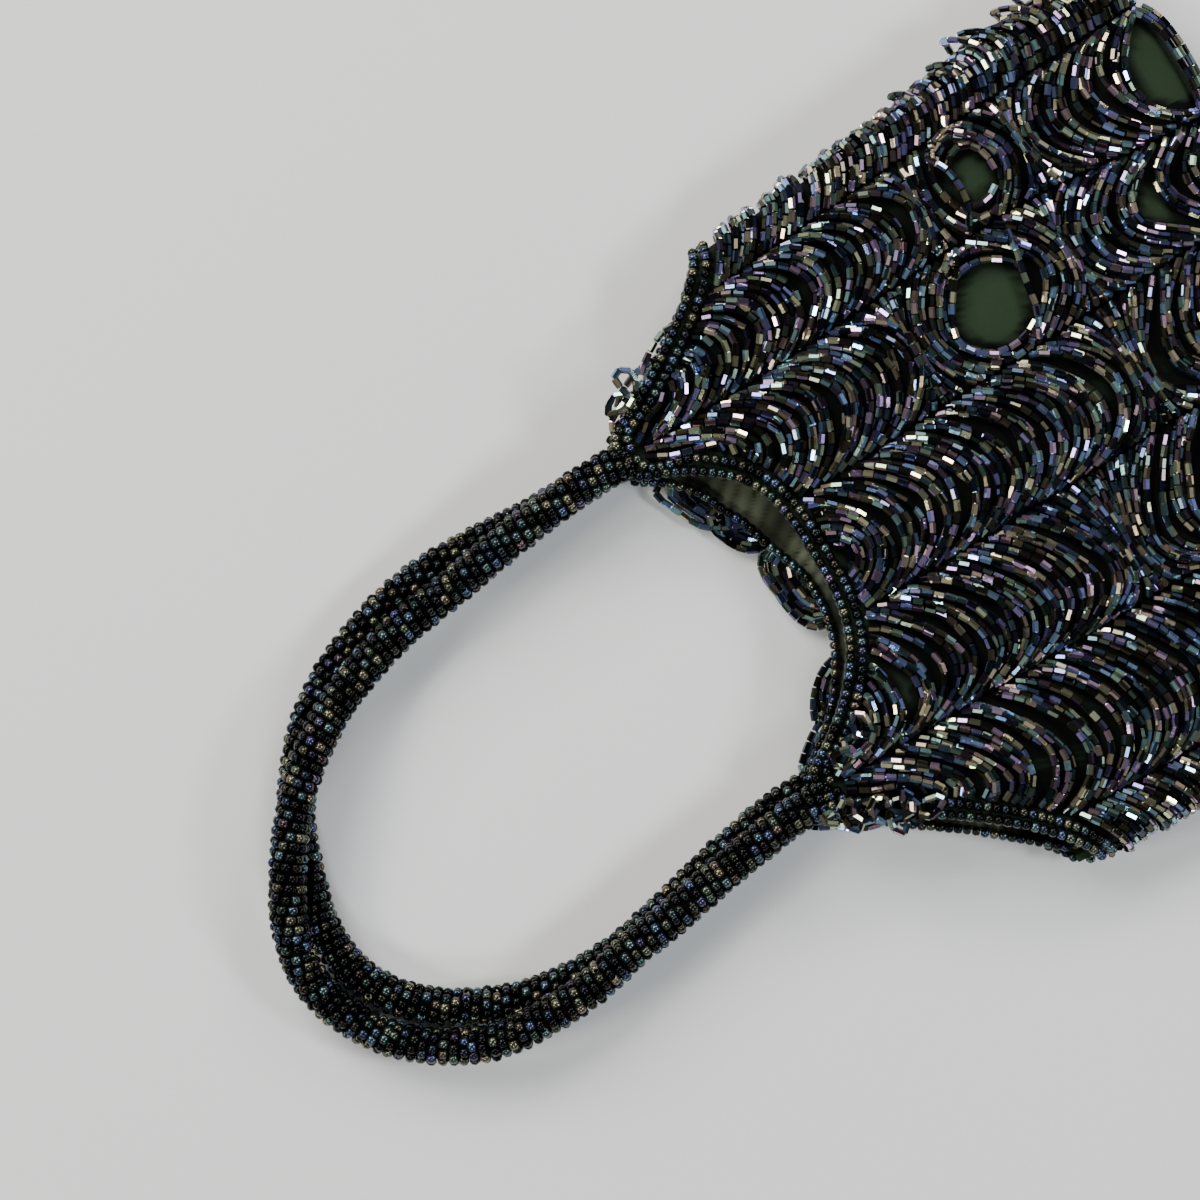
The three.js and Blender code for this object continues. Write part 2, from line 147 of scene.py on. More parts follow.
# Which layer of the pile each strand in turn lies in, from 0 to 1, and how high the pile is
PILE_LAYERS = [0.05, 0.9, 0.4, 1.0, 0.0, 0.7]
PILE_HEIGHT = 2.3
# Arches nested at the edging: step and least size, as shares of the column's width, and sag at full width
NEST_STEP = {"front": 0.1, "back": 0.2}
NEST_LEAST = 0.2
NEST_SAG = 12.0
# Round openings where the satin shows: column, middle (x, y), half width, half height, and the arcs that wrap
# each side: middle in degrees, half length in degrees, how far out in millimetres
ROUND_OPENINGS = [
    (5, 27.0, 1.6, 10.0, 10.2, [(-14, 58, 0.0), (6, 50, 1.5), (-24, 64, 3.2), (176, 40, 0.2),
                                (196, 52, 2.0)]),
    (6, 51.3, -7.8, 6.6, 5.6, [(-30, 70, 0.0), (-16, 62, 1.6), (-38, 66, 3.1), (4, 40, 4.4), (186, 44, -0.4),
                               (168, 50, 1.7)]),
]
# Strands that cross an opening: column, points (x, y)
CROSSING_STRANDS = [
    (5, [(38.5, -8.5), (33.0, -7.6), (27.5, -6.4), (21.5, -5.4), (15.5, -2.6)]),
    (6, [(60.0, -1.5), (56.5, -3.8), (51.5, -4.7), (47.2, -4.1), (43.2, -1.9)]),
]
CROSSING_HEIGHT = 1.6
# Short loops past the foot
FRINGE_ROWS = 3
FRINGE_STEP = 1.4
FRINGE_HANG = 1.2
# Half swags round the sides: their pitch, how far they stand off near the foot, how much further a free one
# does, and how many there are to each free one
SIDE_PITCH = 1.25
SIDE_LOOSENESS = 2.0
FREE_LOOSENESS = 5.0
FREE_EVERY = 6

# Loops of beads that stand free at the shoulders: face, column, two ends on the edge (x) and how far out
FREE_LOOPS = [
    ("front", 6, 51.5, 56.5, 6.5), ("front", 6, 55, 60.5, 4.0), ("front", 6, 48.5, 52.5, 4.2),
    ("front", 2, -53.5, -47.5, 4.6), ("front", 2, -58, -51.5, 2.6), ("back", 2, -56, -50, 5.5),
    ("back", 2, -52, -46.5, 6.5),
]
# Curls of beads that lie over the front's edging by the handle: column, middle (x, y), half width and height
CURLS = [
    (2, -55.6, 70.5, 3.9, 1.7), (2, -54.4, 73.2, 2.0, 3.3), (2, -52.4, 76.4, 3.4, 1.9),
    (2, -50.8, 78.8, 1.9, 3.4), (2, -50.2, 82.2, 3.6, 2.0), (2, -57.2, 67.3, 1.8, 3.2),
    (2, -56.6, 74.6, 2.6, 1.8), (3, -37.5, 73.5, 1.9, 3.4), (3, -34.6, 70.8, 3.0, 1.8),
    (3, -38.6, 77.6, 1.8, 2.8), (6, 55.5, 76.0, 3.2, 1.9), (6, 52.2, 79.6, 1.8, 3.0),
]
# Fans of nested loops that flop past the back's edge: column, two ends on the edge (x), how far out, strands
EDGE_FANS = [(3, -38, -29, 3.6, 4), (3, -31, -19.5, 5.0, 5), (4, -12.5, 8.5, 7.0, 6), (5, 9, 22, 5.6, 4),
             (5, 16, 33, 6.5, 4)]
FAN_OVERLAP = 2.0

# Edging: name, first and last column
EDGINGS = [("left", 1, 2), ("mouth", 3, 5), ("right", 6, 7)]
OUTSIDE_WALL = PIECE_GAP + SEED_RADIUS
INSIDE_WALL = -(WALL + PIECE_GAP + LINING_THICKNESS) - SEED_RADIUS
# Rows of the edging: share of the band from its lower line to the edge, and offset from the wall's face
EDGING_ROWS = {"front": [(0.3, OUTSIDE_WALL), (0.84, OUTSIDE_WALL)],
               "back": [(0.42, OUTSIDE_WALL), (1.0, INSIDE_WALL)]}
# Short rows that close the rim beside a side seam: how far below the edge, and offset from the wall's face
RIM_ROWS = {"front": [(0.2, -0.5)], "back": [(0.0, -0.5), (2.2, -WALL - SEED_RADIUS)]}
RIM_REACH = (0.3, 6.5)
SIDE_SEAMS = {"left": (SEAMS[0], 1), "right": (SEAMS[-1], -1)}
EDGING_JOINT_MARGIN = 0.5
EDGING_SEAM_MARGIN = 0.2

# Handle
ROPE_DIAMETER = 8.6
ROPE_GAP = 0.05
HANDLE_REACH = 108.0
RING_RADIUS = 3.12
RING_BEADS = 9.4
RING_PITCH = 2.2
WINDING_OVERLAP = 2.6
TIP_LENGTH = 4.0
TIP_NARROWING = 0.28
ROPE_BEAD_LENGTH = 1.12 * SEED_LENGTH
ROPE_BEAD_RADIUS = 1.02 * SEED_RADIUS
CORE_RADIUS = 2.75
CORE_OVERLAP = 2.2

# Middle line of the handle: shares of half the distance between the peaks, and of HANDLE_REACH
HANDLE_ROUTE = [(1, 0), (1, 0.06), (0.985, 0.2), (0.97, 0.34), (0.914, 0.535), (0.732, 0.721),
                (0.439, 0.858), (0.085, 0.945), (-0.299, 1), (-0.614, 0.993), (-0.924, 0.921),
                (-1.155, 0.782), (-1.224, 0.606), (-1.157, 0.405), (-1.05, 0.2), (-1, 0.06), (-1, 0)]
# Lean of the upper rope about the lower one: share of the handle's length, degrees from the outside
LEAN_TABLE = [(0, 90), (0.05, 90), (0.1, 104), (0.18, 136), (0.26, 130), (0.33, 114), (0.4, 90), (0.46, 62),
              (0.54, 18), (0.6, 10), (0.66, 24), (0.72, 58), (0.8, 84), (0.94, 70), (1, 70)]

# Points of the cloth's grids
BEND_POINTS = 9
PANEL_ROWS = 70
PANEL_STATIONS = 104
LINING_ROWS = 43
LINING_STATIONS = 230
SATIN_RIPPLE = 0.16
LINING_SLACK = 0.9
LINING_END_MARGIN = 0.2
# Painted shade under the beads: blur of the beads over the cloth, in millimetres, beads a square millimetre
# from no painted shade to full, and the share of the cloth's colour left under full painted shade
PAINTED_SHADE_BLUR = 1.4
PAINTED_SHADE_RANGE = (0.03, 0.13)
PAINTED_SHADE_DIMS_TO = 0.07

# Colours of the film on the beads, from steel blue through purple, bronze and green back to steel blue
IRIS = [(0.0, (0.064, 0.09, 0.141)), (0.08, (0.122, 0.193, 0.296)), (0.16, (0.085, 0.105, 0.235)),
        (0.25, (0.127, 0.107, 0.21)), (0.35, (0.237, 0.153, 0.237)), (0.45, (0.18, 0.135, 0.115)),
        (0.56, (0.279, 0.24, 0.156)), (0.68, (0.218, 0.225, 0.14)), (0.78, (0.115, 0.16, 0.115)),
        (0.87, (0.112, 0.189, 0.177)), (0.95, (0.137, 0.228, 0.247)), (1.0, (0.064, 0.09, 0.141))]
FILM_CLOUD_SCALE = 900.0

# Camera: the picture's directions in the part's frame, and what it frames, in millimetres
CAMERA_UP = np.array([0.857, -0.515, 0.0])
CAMERA_RIGHT = np.array([-0.515, -0.857, 0.0])
CAMERA_AIM = (16.2, 104.2)
CAMERA_HEIGHT = 1000.0
IMAGE_WIDTH = 252.6
AIM_HEIGHT = 12.0
SENSOR_WIDTH = 36.0

# Soft boxes round the bag: name, way in the picture to the right, up and off the floor, size, power, tint
LAMPS = [
    ("key", -0.65, 0.8, 0.95, 1.0, 36.4, (1.0, 1.0, 1.0)),
    ("left", -1.0, -0.35, 0.85, 0.3, 10.5, (1.0, 0.93, 0.78)),
    ("below", 0.1, -1.0, 0.9, 0.3, 10.5, (0.8, 0.91, 1.0)),
    ("right", 1.0, -0.1, 0.9, 0.3, 13.6, (0.93, 0.93, 1.0)),
    ("above", 0.45, 1.0, 0.75, 0.4, 10.2, (1.0, 0.95, 0.91)),
]
LAMP_DISTANCE = 1.6
FLOOR_HALF = 6.0
FLOOR_TONES = ((0.595, 0.6, 0.585, 1), (0.65, 0.655, 0.645, 1))
# The room round the bag: dark, with paler patches that the facets mirror
SKY_DARK = (0.008, 0.008, 0.009)
SKY_BRIGHT = (0.22, 0.225, 0.23)


# Lines and directions

def on_table(table, place):
    """Straight lines between the rows of a two-column table."""
    rows = np.array(table, float)
    return np.interp(place, rows[:, 0], rows[:, 1])


def smooth_step(low, high, value):
    """3t^2 - 2t^3, with t from 0 at low to 1 at high."""
    share = np.clip((value - low) / (high - low), 0, 1)
    return share * share * (3 - 2 * share)


def unit(vectors):
    """The vectors at length 1."""
    return vectors / np.maximum(np.linalg.norm(vectors, axis=-1, keepdims=True), 1e-6)


def path_run(path):
    """Length along a path up to each of its points."""
    return np.concatenate([[0], np.cumsum(np.linalg.norm(np.diff(path, axis=0), axis=1))])


def at_run(path, run, place):
    """Values of a path at some lengths along it."""
    return np.stack([np.interp(place, run, values) for values in path.T], -1)


def catmull_rom(knots, per_span):
    """Centripetal Catmull-Rom curve through the knots, with its end knots mirrored outward."""
    knots = np.vstack([2 * knots[0] - knots[1], knots, 2 * knots[-1] - knots[-2]])
    gap = np.linalg.norm(np.diff(knots, axis=0), axis=1) ** 0.5
    share = np.linspace(0, 1, per_span, endpoint=False)[:, None]
    spans = []
    for k in range(1, len(knots) - 2):
        p0, p1, p2, p3 = knots[k - 1:k + 3]
        d0, d1, d2 = gap[k - 1:k + 2]
        leave = ((p1 - p0) / d0 - (p2 - p0) / (d0 + d1) + (p2 - p1) / d1) * d1
        arrive = ((p2 - p1) / d1 - (p3 - p1) / (d1 + d2) + (p3 - p2) / d2) * d1
        spans.append(p1 + leave * share + (3 * (p2 - p1) - 2 * leave - arrive) * share ** 2
                     + (2 * (p1 - p2) + leave + arrive) * share ** 3)
    return np.vstack([*spans, knots[-2]])


# Shape of the pouch

def front_edge(x):
    """Crown edge of the front: a power curve from the mouth's middle up to each peak's tab, and hollow
    shoulders that fall away from the tabs."""
    middle = (LEFT_PEAK + RIGHT_PEAK) / 2
    half = (RIGHT_PEAK - LEFT_PEAK) / 2 - TAB_HALF_WIDTH
    from_mouth = np.abs(x - middle) / half
    on_left = x < middle
    curve = np.where(on_left, MOUTH_CURVE_LEFT, MOUTH_CURVE_RIGHT)
    mouth = MOUTH_HEIGHT + (PEAK_HEIGHT - MOUTH_HEIGHT) * np.minimum(from_mouth, 1) ** curve
    tab_edge = np.where(on_left, LEFT_PEAK - TAB_HALF_WIDTH, RIGHT_PEAK + TAB_HALF_WIDTH)
    body_edge = np.where(on_left, -BODY_LEFT, BODY_RIGHT)
    outward = np.clip((x - tab_edge) / (body_edge - tab_edge), 0, 1)
    shoulder = np.where(on_left, LEFT_SHOULDER, RIGHT_SHOULDER)
    fall_away = shoulder + (PEAK_HEIGHT - shoulder) * (1 - outward) ** SHOULDER_POWER
    return np.where(from_mouth < 1, mouth, fall_away)


def edge_height(face, x):
    """The crown edge, with the back's lip added."""
    lip = LIP_RISE * on_table(LIP_TABLE, (x + BODY_LEFT) / FLAT_WIDTH) if face["side"] < 0 else 0
    return np.minimum(front_edge(x) + lip, PEAK_HEIGHT)


def trim_line(face, x):
    """Lower line of the edging: below the edge by its width, measured square to the edge."""
    step = TAB_HALF_WIDTH / 2
    slope = (edge_height(face, x + step) - edge_height(face, x - step)) / (2 * step)
    return edge_height(face, x) - TRIM_WIDTH * np.hypot(1, slope)


def foot_at(x):
    """Lowest point of the outline at a place across: the arc of the rounded corner."""
    over = np.clip(CORNER_RADIUS - np.minimum(x + BODY_LEFT, BODY_RIGHT - x), 0, CORNER_RADIUS)
    return -BODY_FOOT + CORNER_RADIUS - np.sqrt(CORNER_RADIUS ** 2 - over ** 2)


def inside_outline(x, y):
    """Distance inside the rounded outline, and the direction in which it grows."""
    from_left, from_right, from_foot = x + BODY_LEFT, BODY_RIGHT - x, y + BODY_FOOT
    from_side = np.minimum(from_left, from_right)
    inward = np.where(from_left < from_right, 1.0, -1.0)
    over_x, over_y = CORNER_RADIUS - from_side, CORNER_RADIUS - from_foot
    radius = np.maximum(np.hypot(over_x, over_y), 1e-6)
    corner = (over_x > 0) & (over_y > 0)
    by_side = from_side < from_foot
    distance = np.where(corner, CORNER_RADIUS - radius, np.minimum(from_side, from_foot))
    grow_x = np.where(corner, inward * over_x / radius, np.where(by_side, inward, 0.0))
    grow_y = np.where(corner, over_y / radius, np.where(by_side, 0.0, 1.0))
    return distance, grow_x, grow_y


def sideways_shift(x, y):
    """The outline narrows to the handle, and two seams on the right lean in at the foot."""
    across = (x + BODY_LEFT) / FLAT_WIDTH
    flare = ((1 - across) * FLARE_LEFT - across * FLARE_RIGHT) * np.minimum(y, RIGHT_SHOULDER) / BODY_FOOT
    lean = SEAM_LEAN * np.exp(-(((across - LEAN_PLACE) / LEAN_WIDTH) ** 2))
    return flare - lean * smooth_step(LEAN_START, BODY_FOOT, -y)


def shell(face, x, y, offset):
    """Points of a face of the pouch and its unit normals: a quarter ellipse from the side seam up to a flat
    middle, lower towards the handle and in a bell-shaped valley over each inner seam, moved along the normal
    by the offset."""
    x, y, offset = np.broadcast_arrays(x, y, offset)
    distance, grow_x, grow_y = inside_outline(x, y)
    turn = np.arccos(1 - np.clip(distance / face["reach"], 0, 1))
    fall = face["fall"] * np.clip(y / PEAK_HEIGHT, 0, 1) ** 2
    valley = np.exp(-(((x[..., None] - SEAMS[1:-1]) / SEAM_DENT_WIDTH) ** 2)).max(-1)
    rise = face["rise"] * (1 - fall) - face["dent"] * valley
    steep = face["rise"] / face["reach"] * np.cos(turn)
    normal = unit(np.stack([-grow_x * steep, -grow_y * steep, face["side"] * np.sin(turn)], -1))
    height = SEAM_HEIGHT + face["side"] * (PIECE_GAP / 2 + rise * np.sin(turn))
    point = np.stack([x + sideways_shift(x, y), y, height], -1)
    return point + offset[..., None] * normal, normal


# Meshes

def mesh_piece(name, points, corners, sizes, material, smooth=False, marks=None):
    """Mesh object at the origin from points in millimetres, face corners and face sizes. marks are float
    attributes, one value a corner."""
    mesh = bpy.data.meshes.new(name)
    mesh.vertices.add(len(points))
    mesh.vertices.foreach_set("co", (np.asarray(points, np.float32) * MM).ravel())
    mesh.loops.add(len(corners))
    mesh.loops.foreach_set("vertex_index", np.asarray(corners, np.int32))
    mesh.polygons.add(len(sizes))
    starts = np.concatenate([[0], np.cumsum(sizes)[:-1]]).astype(np.int32)
    mesh.polygons.foreach_set("loop_start", starts)
    mesh.update(calc_edges=True)
    mesh.polygons.foreach_set("use_smooth", np.full(len(sizes), smooth))
    for key, values in (marks or {}).items():
        mesh.attributes.new(key, "FLOAT", "CORNER").data.foreach_set("value", np.asarray(values, np.float32))
    mesh.validate()
    mesh.update()
    mesh.materials.append(material)
    piece = bpy.data.objects.new(name, mesh)
    bpy.context.scene.collection.objects.link(piece)
    return piece


def closed_sheet(outer, inner):
    """Points and quads of a thick sheet: two grids of points that face away from each other, joined by walls
    along their four borders. Faces are turned outward by the sign of the volume they close in."""
    rows, columns = outer.shape[:2]
    index = np.arange(rows * columns).reshape(rows, columns)

    def quads(grid):
        return np.stack([grid[:-1, :-1], grid[:-1, 1:], grid[1:, 1:], grid[1:, :-1]], -1).reshape(-1, 4)

    border = np.concatenate([index[0], index[1:, -1], index[-1, -2::-1], index[-2:0:-1, 0]])
    after = np.roll(border, -1)
    shift = rows * columns
    walls = np.stack([border, border + shift, after + shift, after], -1)
    faces = np.concatenate([quads(index), quads(index)[:, ::-1] + shift, walls])
    points = np.concatenate([outer.reshape(-1, 3), inner.reshape(-1, 3)])
    a, b, c, d = (points[faces[:, k]] for k in range(4))
    volume = (np.cross(b - a, c - a) * a).sum() + (np.cross(c - a, d - a) * a).sum()
    return points, faces if volume > 0 else faces[:, ::-1]


def cloth_piece(name, outer, inner, material, painted_shade):
    """A thick cloth sheet, smooth but for its rims. The last argument is how far painted shade, under beads or
    in the hollows between the lining's folds, darkens each point of a side's grid."""
    points, faces = closed_sheet(outer, inner)
    corners = faces.ravel()
    # Painted shade mark, one value a corner
    marks = {"painted_shade": np.concatenate([painted_shade.ravel(), painted_shade.ravel()])[corners]}
    piece = mesh_piece(name, points, corners, np.full(len(faces), 4), material, smooth=True, marks=marks)
    piece.data.set_sharp_from_angle(angle=math.radians(50))
    return piece


# Beads

def turned_points(profile, sides, first=0.0):
    """Points of a profile carried round the x axis, in rings that start at a share of one side."""
    angle = TURN * (np.arange(sides) + first) / sides
    rings = [np.stack([np.full(sides, along), radius * np.cos(angle), radius * np.sin(angle)], -1)
             for along, radius in profile]
    return np.concatenate(rings)


def ring_quads(sides, pairs):
    """Quads between pairs of rings of points."""
    side = np.arange(sides)
    after = (side + 1) % sides
    bands = [np.stack([side + sides * a, after + sides * a, after + sides * b, side + sides * b], -1)
             for a, b in pairs]
    return np.concatenate(bands)


def hex_bead():
    """Two-cut bead along x with radius 1 and length 1: a six-sided tube with narrowed, flat ends. Gives its
    points, face corners and face sizes, and the facet of each corner, where both ends are facet 6."""
    sides = np.arange(6)
    quads = ring_quads(6, [(0, 1), (1, 2), (2, 3)])
    ends = np.concatenate([sides[::-1], sides + 18])
    facet = np.concatenate([np.repeat(np.tile(sides, 3), 4), np.full(12, 6)])
    corners = np.concatenate([quads.ravel(), ends])
    return turned_points(HEX_PROFILE, 6, 0.5), corners, np.array([4] * 18 + [6, 6]), facet


def seed_bead():
    """Round bead along x with radius 1 and length 1: a bulged ring of eight segments with its hole, given as
    hex_bead gives its own, with one facet."""
    quads = ring_quads(8, [(ring, (ring + 1) % 5) for ring in range(5)])
    return turned_points(SEED_PROFILE, 8), quads.ravel(), np.full(len(quads), 4), np.zeros(quads.size, int)


HEX_BEAD = hex_bead()
SEED_BEAD = seed_bead()


class Beads:
    """Beads gathered from many strands, kept as arrays until they become one mesh."""

    def __init__(self, template, length, radius, rng):
        self.template, self.length, self.radius, self.rng = template, length, radius, rng
        self.middles, self.axes, self.lifts = [], [], []

    def add(self, middles, axes, lifts):
        """Beads from their middles, the directions of their holes and the directions away from the cloth."""
        self.middles.append(middles)
        self.axes.append(axes)
        self.lifts.append(lifts)

    def add_strand(self, path, lifts, spacing):
        """Beads end to end along a path, at even steps of its length. Each lies on the chord it covers."""
        run = path_run(path)
        count = max(int(run[-1] / spacing), 1)
        middle = (np.arange(count) + 0.5) * run[-1] / count
        before, beyond = at_run(path, run, middle - spacing / 2), at_run(path, run, middle + spacing / 2)
        self.add((before + beyond) / 2, beyond - before, at_run(lifts, run, middle))

    def piece(self, name, material, tilt, size_spread, hues=(0, 1), least_gleam=0.0):
        """All beads as one mesh. Each has its own roll about its hole, a slight tilt and size, and two marks:
        hue, its place in the colour range, and gleam, how bright its film is. Both differ from facet to
        facet."""
        rng = self.rng
        middles, axes, lifts = (np.concatenate(part) for part in (self.middles, self.axes, self.lifts))
        count = len(middles)
        axes = unit(unit(axes) + rng.normal(0, tilt, (count, 3)))
        across = unit(np.cross(lifts, axes))
        upward = np.cross(axes, across)
        roll = rng.uniform(0, TURN, count)[:, None]
        side_y = np.cos(roll) * across + np.sin(roll) * upward
        side_z = np.cos(roll) * upward - np.sin(roll) * across
        length = self.length * (1 + rng.normal(0, size_spread, count))[:, None]
        radius = self.radius * (1 + rng.normal(0, size_spread / 2, count))[:, None]
        local, corners, sizes, facet = self.template
        points = (middles[:, None] + local[None, :, :1] * (axes * length)[:, None]
                  + local[None, :, 1:2] * (side_y * radius)[:, None]
                  + local[None, :, 2:] * (side_z * radius)[:, None])
        shift = np.arange(count)[:, None] * len(local)
        hue = hues[0] + (hues[1] - hues[0]) * rng.random(count)[:, None]
        gleam = least_gleam + (1 - least_gleam) * rng.random(count)[:, None]
        facet_hue = rng.normal(0, FACET_HUE_SPREAD, (count, 7))[:, facet]
        facet_gleam = rng.normal(0, FACET_GLEAM_SPREAD, (count, 7))[:, facet]
        return mesh_piece(name, points.reshape(-1, 3), (corners[None] + shift).ravel(), np.tile(sizes, count),
                          material, smooth=self.template is SEED_BEAD,
                          marks={"hue": (hue + facet_hue).ravel() % 1,
                                 "gleam": np.clip(gleam + facet_gleam, 0, 1).ravel()})


# Swags

def lay_strand(beads, face, x, y, offset, spacing=HEX_SPACING):
    """Beads along a line on a face. Where the line runs past the foot it turns round it and stands off."""
    foot = foot_at(x) + FOOT_MARGIN
    beyond = np.maximum(foot - y, 0)
    path, lifts = shell(face, x, np.maximum(y, foot), PIECE_GAP + HEX_RADIUS + offset + 0.8 * beyond)
    path[:, 2] = np.maximum(path[:, 2], HEX_RADIUS + FLOOR_GAP)
    beads.add_strand(path, lifts, spacing)


def column_anchors(face, column, share):
    """Ends of a strand at a share of the longer seam. It is level until the shorter seam ends. From there on
    its end on that side moves along the edging towards the longer seam."""
    ends = np.array([SEAMS[column - 1] + SEAM_MARGIN, SEAMS[column] - SEAM_MARGIN])
    feet = foot_at(ends) + FOOT_MARGIN
    lengths = trim_line(face, ends) - EDGING_MARGIN - feet
    long = int(lengths.argmax())
    short = 1 - long
    level = lengths.min() / lengths.max()
    travel = EDGING_TRAVEL * min((1 - level) / SEAM_DIFFERENCE, 1)
    travel = travel * np.clip((share - level) / (1.001 - level), 0, 1)
    x, y = ends.copy(), feet + share * lengths.max()
    x[short] += travel * (ends[long] - ends[short])
    if share > level:
        y[short] = trim_line(face, x)[short] - SHORT_END_MARGIN
    return x, y


def swag_strands(beads, face, column, rng):
    """Nested swags of one column. A strand hangs from the line between its ends by sag (1 - w^2)^n, where w
    goes from -1 at one seam through 0 at the lowest point to 1 at the other, and n grows from 0.8 to 1.3
    beside an opening, whose sides draw in."""
    front = face["side"] > 0
    lay = FRONT_LAY[column] if front else BACK_LAY
    openings = np.array(OPENINGS.get(column, []) if front else [])
    ends = np.array([SEAMS[column - 1], SEAMS[column]])
    longest = (trim_line(face, ends) - foot_at(ends)).max()
    middle = ends.mean(keepdims=True)
    middle_length = (trim_line(face, middle) - foot_at(middle))[0]
    count = int(longest / STRAND_PITCH[face["name"]])
    u = np.linspace(-1, 1, 161)
    bunch = rng.uniform(0, TURN)
    crown = np.sqrt(np.clip(1 - u ** 2, 0, 1))
    for k in range(count):
        huddle = HUDDLE_REACH * math.sin(TURN * k / HUDDLE_PERIOD + bunch) + rng.normal(0, HUDDLE_SPREAD)
        share = np.clip((k + 0.5 + huddle) / count, 0.004, 0.996)
        anchor_x, anchor_y = column_anchors(face, column, share)
        width = (anchor_x[1] - anchor_x[0]) / (ends[1] - ends[0])
        middle_share = share * longest / middle_length
        sag = on_table(lay, middle_share) * (1 + rng.normal(0, SAG_SHARE_SPREAD)) + rng.normal(0, SAG_SPREAD)
        skew = np.clip(SKEW[face["name"]][column] + rng.normal(0, SKEW_SPREAD), -0.6, 0.6)
        neck = np.exp(-(((middle_share - openings) / NECK_WIDTH) ** 2)).sum()
        w = (u - skew) / (1 - skew * u)
        hang = (1 - w ** 2) ** (0.8 + 0.5 * neck)
        wander = rng.normal(0, WANDER_SPREAD) * np.sin(2.2 * u * math.pi + rng.uniform(0, TURN)) * crown
        x = np.interp(u, (-1, 1), anchor_x) + 0.4 * wander
        y = np.interp(u, (-1, 1), anchor_y) - sag * width * hang + wander
        layer = np.clip(PILE_LAYERS[k % len(PILE_LAYERS)] + rng.normal(0, LAYER_SPREAD), 0, 1.15)
        pile = layer * (0.5 + 0.5 * np.exp(-(((np.abs(u) - 0.8) / 0.22) ** 2)))
        lay_strand(beads, face, x, y, (0.4 + PILE_HEIGHT * pile) * crown ** 0.6)


def edging_nest(beads, face, column, rng):
    """Arches nested inside the last swag, with both feet at the edging: sag s (1 - u^2)^0.7, where s and the
    width shrink together."""
    anchor_x, _ = column_anchors(face, column, 1.0)
    whole = SEAMS[column] - SEAMS[column - 1]
    first = (anchor_x[1] - anchor_x[0]) / whole
    skew = SKEW[face["name"]][column]
    step = NEST_STEP[face["name"]]
    u = np.linspace(-1, 1, 121)
    crown = np.sqrt(np.clip(1 - u ** 2, 0, 1))
    for k, size in enumerate(np.arange(first - step, NEST_LEAST, -step)):
        middle = anchor_x.mean() + skew * (first - size) * whole / 2 + rng.normal(0, 0.2)
        sag = NEST_SAG * (size + rng.normal(0, 0.02))
        x = middle + size * whole / 2 * (u + 0.25 * skew * (1 - u ** 2))
        y = trim_line(face, x) - 0.3 - sag * (1 - u ** 2) ** 0.7
        lay_strand(beads, face, x, y, (0.3 + 1.2 * (k % 2) + rng.uniform(0, 0.5)) * crown ** 0.6)


def opening_rings(beads, column, rng):
    """Strands that wrap the sides of a round opening on the front: arcs of nested ellipses, each a little
    askew, and strands that cross it."""
    for place, middle_x, middle_y, half_width, half_height, arcs in ROUND_OPENINGS:
        for turned, half_turn, out in arcs if place == column else []:
            sweep = np.radians(turned + half_turn * np.linspace(-1, 1, 41))
            uneven = out + rng.normal(0, 0.3) + 0.5 * np.sin(2.3 * sweep + rng.uniform(0, TURN))
            x = middle_x + (half_width + uneven) * np.cos(sweep)
            y = middle_y + (half_height + uneven) * np.sin(sweep)
            lay_strand(beads, FRONT, x, y, 1.2 - 0.2 * out + 0.4 * np.sin(3 * sweep))
    for place, points in CROSSING_STRANDS:
        if place == column:
            line = catmull_rom(np.array(points), 20)
            lay_strand(beads, FRONT, line[:, 0], line[:, 1], np.full(len(line), CROSSING_HEIGHT))


def foot_fringe(beads, face, column, rng):
    """Short loops that hang out past the foot between two seams, by (1 - |u|^2.2)^0.75."""
    left, right = SEAMS[column - 1], SEAMS[column]
    u = np.linspace(-1, 1, 81)
    hang = (1 - np.abs(u) ** 2.2) ** 0.75
    for k in range(FRINGE_ROWS):
        x = (left + right) / 2 + ((right - left) / 2 - 0.8) * u
        y = foot_at(x) + 0.5 + FRINGE_STEP * k - FRINGE_HANG * hang
        lay_strand(beads, face, x, y, (rng.uniform(0.2, 0.9) + 0.3 * k) * hang, LOOP_SPACING)


def side_loops(beads, face, column, rng):
    """Half swags that run from the outer seam round the side seam, where the other face's halves meet them.
    They droop as the sine of the way out, and stand off the side by a looseness that grows to the foot, where
    some stand free."""
    inner, outer = (SEAMS[1], -BODY_LEFT) if column == 1 else (SEAMS[-2], BODY_RIGHT)
    length = trim_line(face, np.array([inner]))[0] + BODY_FOOT
    count = int(length / SIDE_PITCH)
    q = np.linspace(0, 1, 61)
    for k in range(count):
        share = np.clip((k + 0.5 + 0.55 * math.sin(TURN * k / 4.6) + rng.normal(0, 0.2)) / count, 0.01, 0.99)
        lower = smooth_step(0.62, 0.3, share)
        free = lower * (k % FREE_EVERY == 0)
        loose = np.abs(rng.normal(0.4, 0.4))
        loose = loose + rng.uniform(0.4, 1) * (SIDE_LOOSENESS * lower + FREE_LOOSENESS * free)
        droop = (3.0 + 2.5 * lower + rng.normal(0, 0.6)) * (1 - 0.8 * smooth_step(0.86, 1, share))
        x = inner + (outer - inner) * (0.04 + 0.96 * (1 - (1 - q) ** 1.6))
        foot = foot_at(x) + FOOT_MARGIN
        y = foot + share * (trim_line(face, x) - 0.6 - foot) - droop * np.sin(q * math.pi / 2)
        y = y - face["side"] * 2.6 * free * np.sin(q * math.pi)
        pile = (0.3 + 1.4 * (k % 2) + 0.5 * rng.random()) * np.sin(q * math.pi) ** 0.7
        lay_strand(beads, face, x, y, pile + loose * q ** 2.2)


